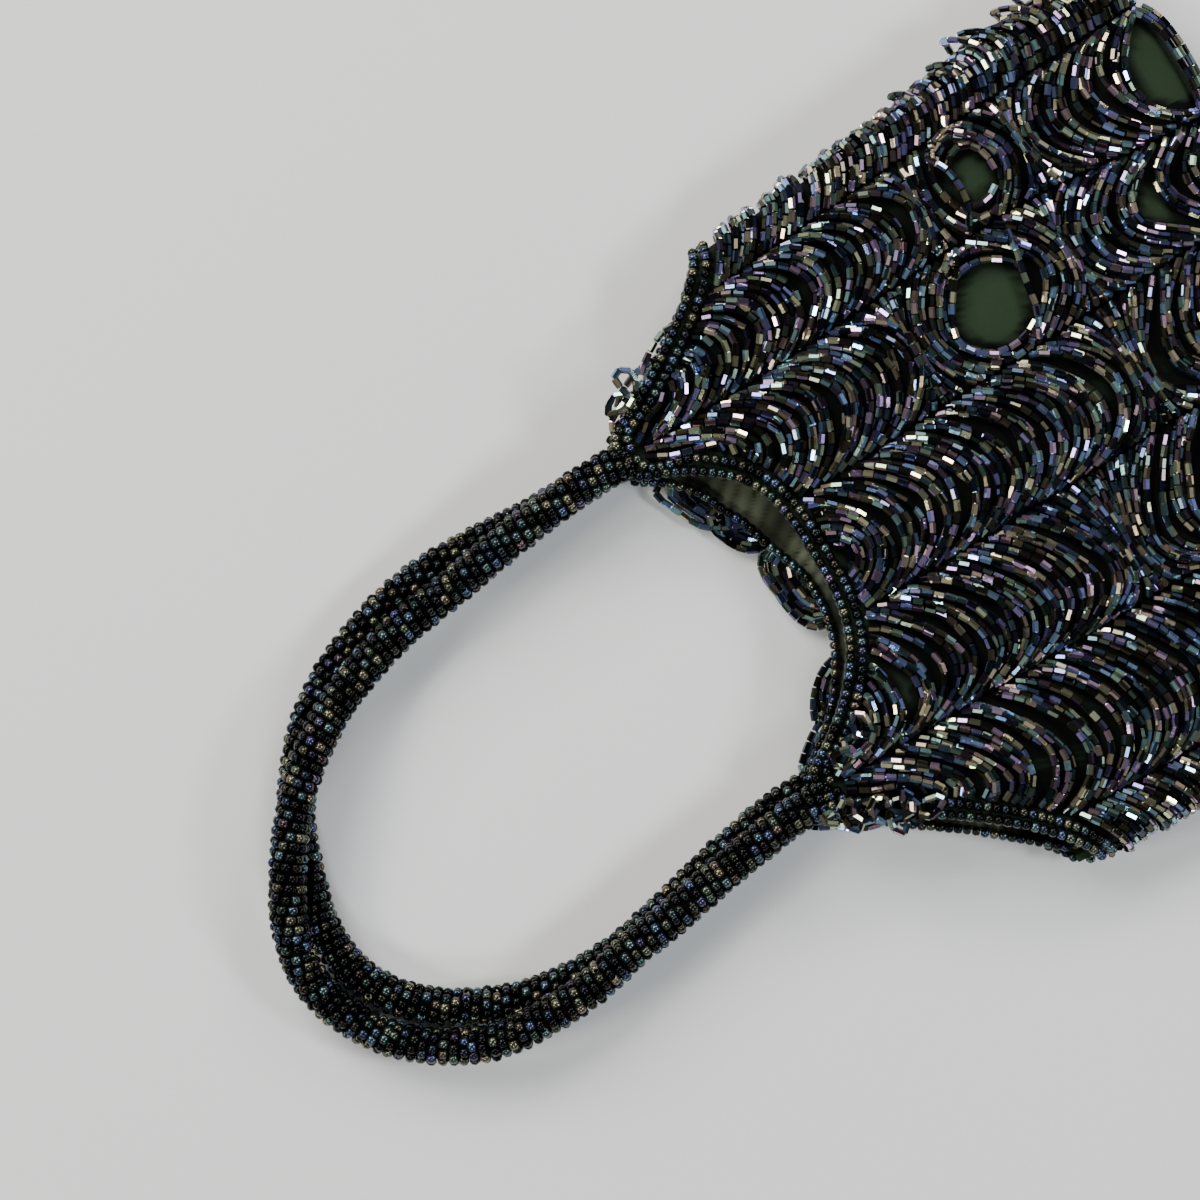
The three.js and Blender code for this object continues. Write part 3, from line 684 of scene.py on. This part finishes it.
def free_loops(beads, face, column):
    """Rounded loops past the edge: sideways a cosine, outward a rounded arch, both over one half turn."""
    turn = np.linspace(0, math.pi, 41)
    for name, place, start, end, reach in FREE_LOOPS:
        if name == face["name"] and place == column:
            x = (start + end) / 2 - (end - start) / 2 * np.cos(turn) * (1 + 0.35 * np.sin(turn))
            out = reach * np.sin(turn) ** 0.8
            lay_strand(beads, face, x, edge_height(face, x) - 0.5 + out, 1.5 * np.sin(turn), LOOP_SPACING)


def edging_curls(beads, column):
    """Ellipses of beads over the front's edging, bent by three waves to the turn and raised on one side."""
    around = np.linspace(0, TURN, 41)
    for place, middle_x, middle_y, half_width, half_height in CURLS:
        if place == column:
            bend = 1 + 0.14 * np.sin(3 * around + middle_x)
            x = middle_x + half_width * bend * np.cos(around)
            y = middle_y + half_height * bend * np.sin(around)
            lay_strand(beads, FRONT, x, y, 2.3 + 1.1 * np.sin(around + middle_y), LOOP_SPACING)


def edge_fans(beads, column):
    """Nested loops past the back's edge: each is the last one made smaller about the middle of its ends."""
    turn = np.linspace(0, math.pi, 41)
    for place, start, end, reach, strands in EDGE_FANS:
        for k in range(strands if place == column else 0):
            size = 1 - 0.75 * k / strands
            x = (start + end) / 2 - (end - start) / 2 * size * np.cos(turn) * (1 + 0.12 * np.sin(turn))
            out = (reach + FAN_OVERLAP) * size * np.sin(turn) ** 0.8 - FAN_OVERLAP
            over = 0.7 * (k % 2) * np.sin(turn)
            lay_strand(beads, BACK, x, edge_height(BACK, x) + out, over, LOOP_SPACING)


def swag_piece(face, column, material):
    """All bead strands of one column on one face, in place of its CAD node."""
    front = face["side"] > 0
    rng = np.random.default_rng(100 * column + (0 if front else 50))
    beads = Beads(HEX_BEAD, HEX_LENGTH, HEX_RADIUS, rng)
    if column in (1, COLUMNS):
        side_loops(beads, face, column, np.random.default_rng(900 + column))
    else:
        swag_strands(beads, face, column, rng)
        edging_nest(beads, face, column, rng)
        if front:
            opening_rings(beads, column, rng)
        foot_fringe(beads, face, column, rng)
    free_loops(beads, face, column)
    if front:
        edging_curls(beads, column)
    else:
        edge_fans(beads, column)
    piece = beads.piece(f"bead_swags_{face['name']}_{column}", material, tilt=0.02, size_spread=0.05)
    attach(piece, "root")
    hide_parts(f"swags_{face['name']}_{column}")
    return np.concatenate(beads.middles)


def edging_piece(face, side, first, last, material):
    """Rows of seed beads along the edge, and short rows that close its rim beside a side seam."""
    rng = np.random.default_rng(7 * first + (0 if face["side"] > 0 else 3))
    beads = Beads(SEED_BEAD, SEED_LENGTH, SEED_RADIUS, rng)
    start = SEAMS[first - 1] + (EDGING_JOINT_MARGIN if first > 1 else EDGING_SEAM_MARGIN)
    end = SEAMS[last] - (EDGING_JOINT_MARGIN if last < COLUMNS else EDGING_SEAM_MARGIN)
    x = np.linspace(start, end, 400)
    low, high = trim_line(face, x), edge_height(face, x)
    for row, offset in EDGING_ROWS[face["name"]]:
        path, lifts = shell(face, x, low + row * (high - low), offset)
        beads.add_strand(path, lifts, SEED_SPACING)
    if side in SIDE_SEAMS:
        seam, inward = SIDE_SEAMS[side]
        rim = seam + inward * np.linspace(*RIM_REACH, 12)
        for down, offset in RIM_ROWS[face["name"]]:
            path, lifts = shell(face, rim, edge_height(face, rim) - down, offset)
            beads.add_strand(path, lifts, SEED_SPACING)
    piece = beads.piece(f"edging_{side}_{face['name']}", material, tilt=0.08, size_spread=0.06,
                        hues=SEED_HUES, least_gleam=0.35)
    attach(piece, "root")
    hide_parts(f"trim_{side}_{face['name']}")


# Handle

def rope_axis(upper):
    """A rope's axis in even steps. The two ropes lie side by side and turn about each other by the lean."""
    tips = [peak + sideways_shift(np.array(peak), np.array(PEAK_HEIGHT)) for peak in (LEFT_PEAK, RIGHT_PEAK)]
    middle, half = (tips[0] + tips[1]) / 2, (tips[1] - tips[0]) / 2
    route = np.array(HANDLE_ROUTE)
    tip_height = PEAK_HEIGHT + PIECE_GAP
    knots = np.stack([middle + half * route[:, 0], tip_height + HANDLE_REACH * route[:, 1]], -1)
    line = catmull_rom(knots, 60)
    run = path_run(line)
    share = np.linspace(0, 1, 1200)
    line = at_run(line, run, share * run[-1])
    along = unit(np.gradient(line, axis=0))
    lean = np.radians(on_table(LEAN_TABLE, share))
    spacing = ROPE_DIAMETER + ROPE_GAP
    outward = (1 if upper else -1) * spacing * np.cos(lean) / 2
    height = PIECE_GAP + ROPE_DIAMETER / 2 + (spacing * np.sin(lean) if upper else 0 * lean)
    return np.stack([line[:, 0] + along[:, 1] * outward, line[:, 1] - along[:, 0] * outward, height], -1)


def rope_frame(axis, place, run):
    """Points of the axis at places along it, with the directions along, beside and above it. Past its ends
    the axis goes straight on."""
    along = at_run(unit(np.gradient(axis, axis=0)), run, place)
    past = np.clip(place - run[-1], 0, None) + np.clip(place, None, 0)
    point = at_run(axis, run, place) + along * past[:, None]
    beside = unit(np.cross(along, [0, 0, 1.0]))
    return point, along, beside, np.cross(beside, along)


def rope_piece(name, upper, material):
    """A string of seed beads wound round a core as a close helix: each bead's hole lies along the string."""
    rng = np.random.default_rng(11 if upper else 12)
    axis = rope_axis(upper)
    run = path_run(axis)
    length = run[-1] + 2 * WINDING_OVERLAP
    count = int(length / RING_PITCH * RING_BEADS)
    number = np.arange(count)
    place = -WINDING_OVERLAP + (number + 0.5) / count * length + rng.normal(0, 0.09, count)
    angle = TURN * number / RING_BEADS + 0.05 * rng.normal(0, 1, count) + 0.5 * np.sin(place / 21)
    point, along, beside, above = rope_frame(axis, place, run)
    out = np.cos(angle)[:, None] * beside + np.sin(angle)[:, None] * above
    around = np.cos(angle)[:, None] * above - np.sin(angle)[:, None] * beside
    radius = RING_RADIUS + rng.normal(0, 0.07, count)
    from_end = np.minimum(place + WINDING_OVERLAP, run[-1] + WINDING_OVERLAP - place)
    radius = radius * (1 - TIP_NARROWING + TIP_NARROWING * smooth_step(0, TIP_LENGTH, from_end))
    beads = Beads(SEED_BEAD, ROPE_BEAD_LENGTH, ROPE_BEAD_RADIUS, rng)
    beads.add(point + out * radius[:, None], around + 0.06 * along, out)
    piece = beads.piece(name, material, tilt=0.1, size_spread=0.06, hues=SEED_HUES)
    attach(piece, "root")
    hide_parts("handle_rope_1" if upper else "handle_rope_2")
    return axis, run


def rope_core(name, axis, run, material):
    """Tube of thread inside a rope: a circle carried along the axis, narrowed almost to a point at both ends,
    which are closed."""
    rings, sides = 240, 12
    place = np.linspace(-CORE_OVERLAP, run[-1] + CORE_OVERLAP, rings)
    point, along, beside, above = rope_frame(axis, place, run)
    angle = TURN * np.arange(sides) / sides
    radius = np.full(rings, CORE_RADIUS)
    radius[[0, -1]] = 1e-3
    out = np.cos(angle)[:, None] * beside[:, None] + np.sin(angle)[:, None] * above[:, None]
    points = point[:, None] + radius[:, None, None] * out
    quads = ring_quads(sides, [(ring, ring + 1) for ring in range(rings - 1)])
    side = np.arange(sides)
    corners = np.concatenate([quads.ravel(), side[::-1], side + (rings - 1) * sides])
    sizes = np.concatenate([np.full(len(quads), 4), [sides, sides]])
    piece = mesh_piece(name, points.reshape(-1, 3), corners, sizes, material, smooth=True)
    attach(piece, "root")


# Materials

def set_values(node, values):
    """Sets a node's own sockets."""
    for key, value in values.items():
        node.inputs[key].default_value = value


def new_material(name):
    """An empty node material with its Principled BSDF."""
    material = bpy.data.materials.new(name)
    material.use_nodes = True
    return material, material.node_tree.nodes["Principled BSDF"], material.node_tree


def add_node(tree, kind, values=None, **settings):
    """A node with its settings and socket values."""
    node = tree.nodes.new(kind)
    for key, value in settings.items():
        setattr(node, key, value)
    set_values(node, values or {})
    return node


def colour_ramp(tree, stops):
    """Colour ramp node from (place, colour) stops."""
    ramp = tree.nodes.new("ShaderNodeValToRGB")
    elements = ramp.color_ramp.elements
    while len(elements) < len(stops):
        elements.new(0.5)
    for element, (place, colour) in zip(elements, stops):
        element.position = place
        element.color = (*colour, 1)
    return ramp


def link_all(tree, *rows):
    """Links between nodes, each as a node, its output, another node and its input."""
    for source, output, target, socket in rows:
        tree.links.new(source.outputs[output], target.inputs[socket])


def shader_group(name, takes, gives):
    """An empty shader node group with its inputs and outputs by name and kind."""
    tree = bpy.data.node_groups.new(name, "ShaderNodeTree")
    for direction, sockets in (("INPUT", takes), ("OUTPUT", gives)):
        for socket, kind in sockets.items():
            tree.interface.new_socket(name=socket, in_out=direction, socket_type=f"NodeSocket{kind}")
    return tree, tree.nodes.new("NodeGroupInput"), tree.nodes.new("NodeGroupOutput")


def iris_group():
    """Shader group for the iris film: hue picks a colour, gleam to the power 2.5 sets how bright it is, and a
    fine cloud shifts the hue and dulls the gloss a little."""
    takes = ("Hue", "Gleam", "Darkest", "Brightest", "Cloud Scale", "Smoothest", "Dullest")
    tree, given, result = shader_group("iris_film", dict.fromkeys(takes, "Float"),
                                       {"Colour": "Color", "Roughness": "Float"})
    place = add_node(tree, "ShaderNodeTexCoord")
    cloud = add_node(tree, "ShaderNodeTexNoise", {"Detail": 2.0})
    ramp = colour_ramp(tree, IRIS)
    power = add_node(tree, "ShaderNodeMath", {1: 2.5}, operation="POWER")
    span = add_node(tree, "ShaderNodeMapRange")
    bright = add_node(tree, "ShaderNodeMix", {"Factor": 1.0}, data_type="RGBA", blend_type="MULTIPLY")
    mottle = add_node(tree, "ShaderNodeMapRange", {"To Min": -0.05, "To Max": 0.05})
    hue = add_node(tree, "ShaderNodeMath", operation="ADD")
    dull = add_node(tree, "ShaderNodeMapRange")
    link_all(tree,
             (place, "Object", cloud, "Vector"), (given, "Cloud Scale", cloud, "Scale"),
             (cloud, "Fac", mottle, "Value"), (given, "Hue", hue, 0), (mottle, "Result", hue, 1),
             (hue, 0, ramp, "Fac"), (ramp, "Color", bright, "A"),
             (given, "Gleam", power, 0), (power, 0, span, "Value"), (given, "Darkest", span, "To Min"),
             (given, "Brightest", span, "To Max"), (span, "Result", bright, "B"),
             (cloud, "Fac", dull, "Value"), (given, "Smoothest", dull, "To Min"),
             (given, "Dullest", dull, "To Max"),
             (bright, "Result", result, "Colour"), (dull, "Result", result, "Roughness"))
    return tree


def bead_material(name, group, darkest, brightest, smoothest, dullest, coat, coat_roughness):
    """Metal-coated glass: the film's colour on a glossy metal, under a clear coat."""
    material, shader, tree = new_material(name)
    hue = add_node(tree, "ShaderNodeAttribute", attribute_name="hue")
    gleam = add_node(tree, "ShaderNodeAttribute", attribute_name="gleam")
    film = add_node(tree, "ShaderNodeGroup", node_tree=group)
    set_values(film, {"Darkest": darkest, "Brightest": brightest, "Cloud Scale": FILM_CLOUD_SCALE,
                      "Smoothest": smoothest, "Dullest": dullest})
    link_all(tree,
             (hue, "Fac", film, "Hue"), (gleam, "Fac", film, "Gleam"),
             (film, "Colour", shader, "Base Color"), (film, "Roughness", shader, "Roughness"))
    set_values(shader, {"Metallic": 0.9, "Coat Weight": coat, "Coat Roughness": coat_roughness})
    return material


def weave_group():
    """Shader group for fine cloth: two crossed waves of threads give the height for a bump, a cloud mixes the
    dark and the light colour, and a painted shade mark darkens them."""
    takes = {"Thread Scale": "Float", "Cloud Scale": "Float", "Dark": "Color", "Light": "Color",
             "Painted Shade": "Float"}
    tree, given, result = shader_group("fine_weave", takes, {"Colour": "Color", "Height": "Float"})
    place = add_node(tree, "ShaderNodeTexCoord")
    warp = add_node(tree, "ShaderNodeTexWave", {"Distortion": 0.6}, bands_direction="X")
    weft = add_node(tree, "ShaderNodeTexWave", {"Distortion": 0.6}, bands_direction="Y")
    threads = add_node(tree, "ShaderNodeMath", operation="ADD")
    cloud = add_node(tree, "ShaderNodeTexNoise", {"Detail": 4.0})
    tone = add_node(tree, "ShaderNodeMix", data_type="RGBA")
    mean = add_node(tree, "ShaderNodeMath", {1: 0.5}, operation="MULTIPLY")
    # Painted shade: the mark dims the cloth's colour where beads lie over it or the lining folds in
    dim = add_node(tree, "ShaderNodeMapRange", {"To Min": 1.0, "To Max": PAINTED_SHADE_DIMS_TO})
    shaded = add_node(tree, "ShaderNodeMix", {"Factor": 1.0}, data_type="RGBA", blend_type="MULTIPLY")
    for wave in (warp, weft):
        link_all(tree, (place, "Object", wave, "Vector"), (given, "Thread Scale", wave, "Scale"))
    link_all(tree,
             (warp, "Fac", threads, 0), (weft, "Fac", threads, 1), (threads, 0, mean, 0),
             (place, "Object", cloud, "Vector"), (given, "Cloud Scale", cloud, "Scale"),
             (cloud, "Fac", tone, "Factor"), (given, "Dark", tone, "A"), (given, "Light", tone, "B"),
             (given, "Painted Shade", dim, "Value"), (tone, "Result", shaded, "A"), (dim, "Result", shaded, "B"),
             (shaded, "Result", result, "Colour"), (mean, 0, result, "Height"))
    return tree


def cloth_material(name, group, dark, light, thread_scale, cloud_scale, roughness, sheen, bump):
    """Woven cloth from the weave group, with sheen and a bump of its threads."""
    material, shader, tree = new_material(name)
    weave = add_node(tree, "ShaderNodeGroup", node_tree=group)
    set_values(weave, {"Thread Scale": thread_scale, "Cloud Scale": cloud_scale,
                       "Dark": (*dark, 1), "Light": (*light, 1)})
    # Painted shade mark from the mesh: darkens the cloth under the beads and in the lining's fold hollows
    painted_shade = add_node(tree, "ShaderNodeAttribute", attribute_name="painted_shade")
    relief = add_node(tree, "ShaderNodeBump", {"Strength": bump, "Distance": 0.0002})
    link_all(tree,
             (painted_shade, "Fac", weave, "Painted Shade"), (weave, "Colour", shader, "Base Color"),
             (weave, "Height", relief, "Height"), (relief, "Normal", shader, "Normal"))
    set_values(shader, {"Roughness": roughness, "Specular IOR Level": 0.05, "Sheen Weight": sheen,
                        "Sheen Roughness": 0.4, "Sheen Tint": (0.5, 0.62, 0.45, 1)})
    return material


iris = iris_group()
weave = weave_group()
hex_material = bead_material("iris_two_cut_glass", iris, darkest=0.12, brightest=2.95, smoothest=0.05,
                             dullest=0.16, coat=0.06, coat_roughness=0.05)
seed_material = bead_material("iris_round_glass", iris, darkest=0.006, brightest=0.43, smoothest=0.2,
                              dullest=0.3, coat=0.1, coat_roughness=0.03)
satin_material = cloth_material("green_satin", weave, dark=(0.0125, 0.0215, 0.0108),
                                light=(0.019, 0.032, 0.0163), thread_scale=900.0, cloud_scale=60.0,
                                roughness=0.55, sheen=0.012, bump=0.25)
lining_material = cloth_material("olive_lining", weave, dark=(0.07, 0.08, 0.05), light=(0.17, 0.185, 0.12),
                                 thread_scale=1100.0, cloud_scale=330.0, roughness=0.7, sheen=0.05, bump=0.6)
thread_material = cloth_material("dark_thread", weave, dark=(0.0006, 0.0006, 0.0008),
                                 light=(0.002, 0.002, 0.0022), thread_scale=600.0, cloud_scale=200.0,
                                 roughness=0.8, sheen=0.0, bump=0.5)


# Cloth

def panel_rows(face, x):
    """Heights over each station: close rows on the rounded foot, then even ones up to the edge."""
    foot = foot_at(x)
    bend = foot + face["reach"] * (1 - np.cos(np.linspace(0, math.pi / 2, BEND_POINTS)))[:, None]
    start = foot + face["reach"]
    rest = start + np.linspace(0, 1, PANEL_ROWS + 1)[1:, None] * (edge_height(face, x) - start)
    return np.vstack([bend, rest])


def panel_stations(face):
    """Places across: close on the rounded sides, even between them, and at the peaks' tabs."""
    arc = face["reach"] * (1 - np.cos(np.linspace(0, math.pi / 2, BEND_POINTS)))
    inner = np.linspace(-BODY_LEFT + face["reach"], BODY_RIGHT - face["reach"], PANEL_STATIONS)
    tabs = [peak + side * TAB_HALF_WIDTH for peak in (LEFT_PEAK, RIGHT_PEAK) for side in (-1, 1)]
    return np.unique(np.round(np.concatenate([-BODY_LEFT + arc, inner, tabs, BODY_RIGHT - arc]), 4))


def painted_shade_under_beads(middles, places):
    """Painted shade for the cloth under the beads at some places, from 0 to 1: the beads over each square
    millimetre, blurred by a bell curve and eased between a thin and a full cover of beads."""
    low = middles[:, :2].min(0) - 5
    bins = np.ceil(middles[:, :2].max(0) + 5 - low).astype(int)
    squares = np.floor(middles[:, :2] - low).astype(int)
    count = np.zeros(bins)
    np.add.at(count, (squares[:, 0], squares[:, 1]), 1)
    blur = [np.exp(-0.5 * ((np.arange(n)[:, None] - np.arange(n)) / PAINTED_SHADE_BLUR) ** 2) for n in bins]
    blur = [bell / bell.sum(1, keepdims=True) for bell in blur]
    density = blur[0] @ count @ blur[1].T
    at = np.clip(np.round(places[..., :2] - low - 0.5).astype(int), 0, bins - 1)
    return smooth_step(*PAINTED_SHADE_RANGE, density[at[..., 0], at[..., 1]])


def panel_piece(face, middles):
    """Satin panel of the pouch: the shell between foot and edge, with its wall and a faint ripple."""
    x = panel_stations(face)
    y = panel_rows(face, x)
    grid = np.broadcast_to(x, y.shape)
    ripple = SATIN_RIPPLE * np.sin(grid / 3.1 + 1.5 * np.sin(y / 9)) * np.sin(y / 6.3 + grid / 15)
    outer = shell(face, grid, y, np.minimum(ripple, PIECE_GAP - 0.1))[0]
    inner = shell(face, grid, y, -WALL)[0]
    # The satin gets painted shade where the beads lie thick over it
    piece = cloth_piece(f"satin_{face['name']}", outer, inner, satin_material, painted_shade_under_beads(middles, outer))
    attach(piece, "root")
    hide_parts(f"{face['name']}_panel")


def lining_piece(face):
    """Lining facing inside the crown edge, a little slack between its stitches: its folds are the size of a
    sine over slanting, wavering lines. Painted shade darkens the hollows between the folds."""
    inset = LINING_INSET + LINING_END_MARGIN
    x = np.linspace(-BODY_LEFT + inset, BODY_RIGHT - inset, LINING_STATIONS)
    low, high = trim_line(face, x) - LINING_DEPTH, edge_height(face, x)
    y = low + np.linspace(0, 1, LINING_ROWS)[:, None] * (high - low)
    grid = np.broadcast_to(x, y.shape)
    slant = grid / 1.25 + y / 3.4 + 1.6 * np.sin(y / 5.3) + 1.1 * np.sin(grid / 6.1)
    fold = np.abs(np.sin(slant)) ** 0.7 * (0.55 + 0.45 * np.sin(grid / 3.7 + y / 8))
    slack = np.minimum(LINING_SLACK * fold, high - y)
    outer = shell(face, grid, y, -(WALL + PIECE_GAP))[0]
    inner = shell(face, grid, y, -(WALL + PIECE_GAP + LINING_THICKNESS) + 0.3 - slack)[0]
    # Painted shade in the hollows between the folds: the colour darkens where the slack is least
    shade = 0.95 * (1 - fold) ** 1.5
    piece = cloth_piece(f"lining_cloth_{face['name']}", outer, inner, lining_material, shade)
    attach(piece, "root")
    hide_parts(f"lining_{face['name']}")


# Camera, floor and light

def place_camera():
    """Camera straight above the bag, turned so that the handle points down to the left."""
    data = bpy.data.cameras.new("camera")
    data.sensor_width = SENSOR_WIDTH
    data.lens = SENSOR_WIDTH * (CAMERA_HEIGHT - AIM_HEIGHT) / IMAGE_WIDTH
    data.clip_start, data.clip_end = 0.01, 20
    camera = bpy.data.objects.new("camera", data)
    bpy.context.scene.collection.objects.link(camera)
    turned = Matrix([[CAMERA_RIGHT[k], CAMERA_UP[k], (0, 0, 1)[k]] for k in range(3)]).to_4x4()
    turned.normalize()
    place = (CAMERA_AIM[0] * MM, CAMERA_AIM[1] * MM, CAMERA_HEIGHT * MM)
    camera.matrix_world = Matrix.Translation(place) @ turned
    bpy.context.scene.camera = camera


def area_light(name, towards, size, power, tint):
    """Square soft light that faces the middle of the picture from a direction."""
    data = bpy.data.lights.new(name, "AREA")
    data.shape = "SQUARE"
    data.size, data.energy, data.color = size, power, tint
    lamp = bpy.data.objects.new(name, data)
    bpy.context.scene.collection.objects.link(lamp)
    way = np.array(towards, float) / np.linalg.norm(towards)
    aim = np.array([CAMERA_AIM[0] * MM, CAMERA_AIM[1] * MM, 0])
    lamp.location = aim + way * LAMP_DISTANCE
    lamp.rotation_mode = "QUATERNION"
    lamp.rotation_quaternion = Vector(-way).to_track_quat("-Z", "Y")


def pale_floor():
    """Plain pale floor, very faintly clouded."""
    half = FLOOR_HALF
    mesh = bpy.data.meshes.new("floor")
    corners = [(-half, -half, 0), (half, -half, 0), (half, half, 0), (-half, half, 0)]
    mesh.from_pydata(corners, [], [(0, 1, 2, 3)])
    floor = bpy.data.objects.new("floor", mesh)
    bpy.context.scene.collection.objects.link(floor)
    material, shader, tree = new_material("pale_floor")
    cloud = add_node(tree, "ShaderNodeTexNoise", {"Scale": 3.0, "Detail": 3.0})
    tone = add_node(tree, "ShaderNodeMix", {"A": FLOOR_TONES[0], "B": FLOOR_TONES[1]}, data_type="RGBA")
    place = add_node(tree, "ShaderNodeTexCoord")
    link_all(tree, (place, "Object", cloud, "Vector"), (cloud, "Fac", tone, "Factor"),
             (tone, "Result", shader, "Base Color"))
    set_values(shader, {"Roughness": 0.9})
    mesh.materials.append(material)


def studio_light():
    """Soft boxes all round the picture, in a dark room with paler patches."""
    world = bpy.data.worlds.new("studio")
    world.use_nodes = True
    tree = world.node_tree
    sky = add_node(tree, "ShaderNodeTexNoise", {"Scale": 2.4, "Detail": 1.0})
    patches = colour_ramp(tree, [(0.0, SKY_DARK), (0.5, SKY_DARK), (0.57, SKY_BRIGHT)])
    way = add_node(tree, "ShaderNodeTexCoord")
    link_all(tree, (way, "Generated", sky, "Vector"), (sky, "Fac", patches, "Fac"),
             (patches, "Color", tree.nodes["Background"], "Color"))
    bpy.context.scene.world = world
    up = np.array([0, 0, 1.0])
    for name, rightward, upward, height, size, power, tint in LAMPS:
        area_light(name, upward * CAMERA_UP + rightward * CAMERA_RIGHT + height * up, size, power, tint)


place_camera()
pale_floor()
studio_light()
for face in (FRONT, BACK):
    middles = np.vstack([swag_piece(face, column, hex_material) for column in range(1, COLUMNS + 1)])
    panel_piece(face, middles)
    lining_piece(face)
    for side, first, last in EDGINGS:
        edging_piece(face, side, first, last, seed_material)
for name, upper in (("bead_rope_upper", True), ("bead_rope_lower", False)):
    axis, run = rope_piece(name, upper, seed_material)
    rope_core(f"{name}_core", axis, run, thread_material)
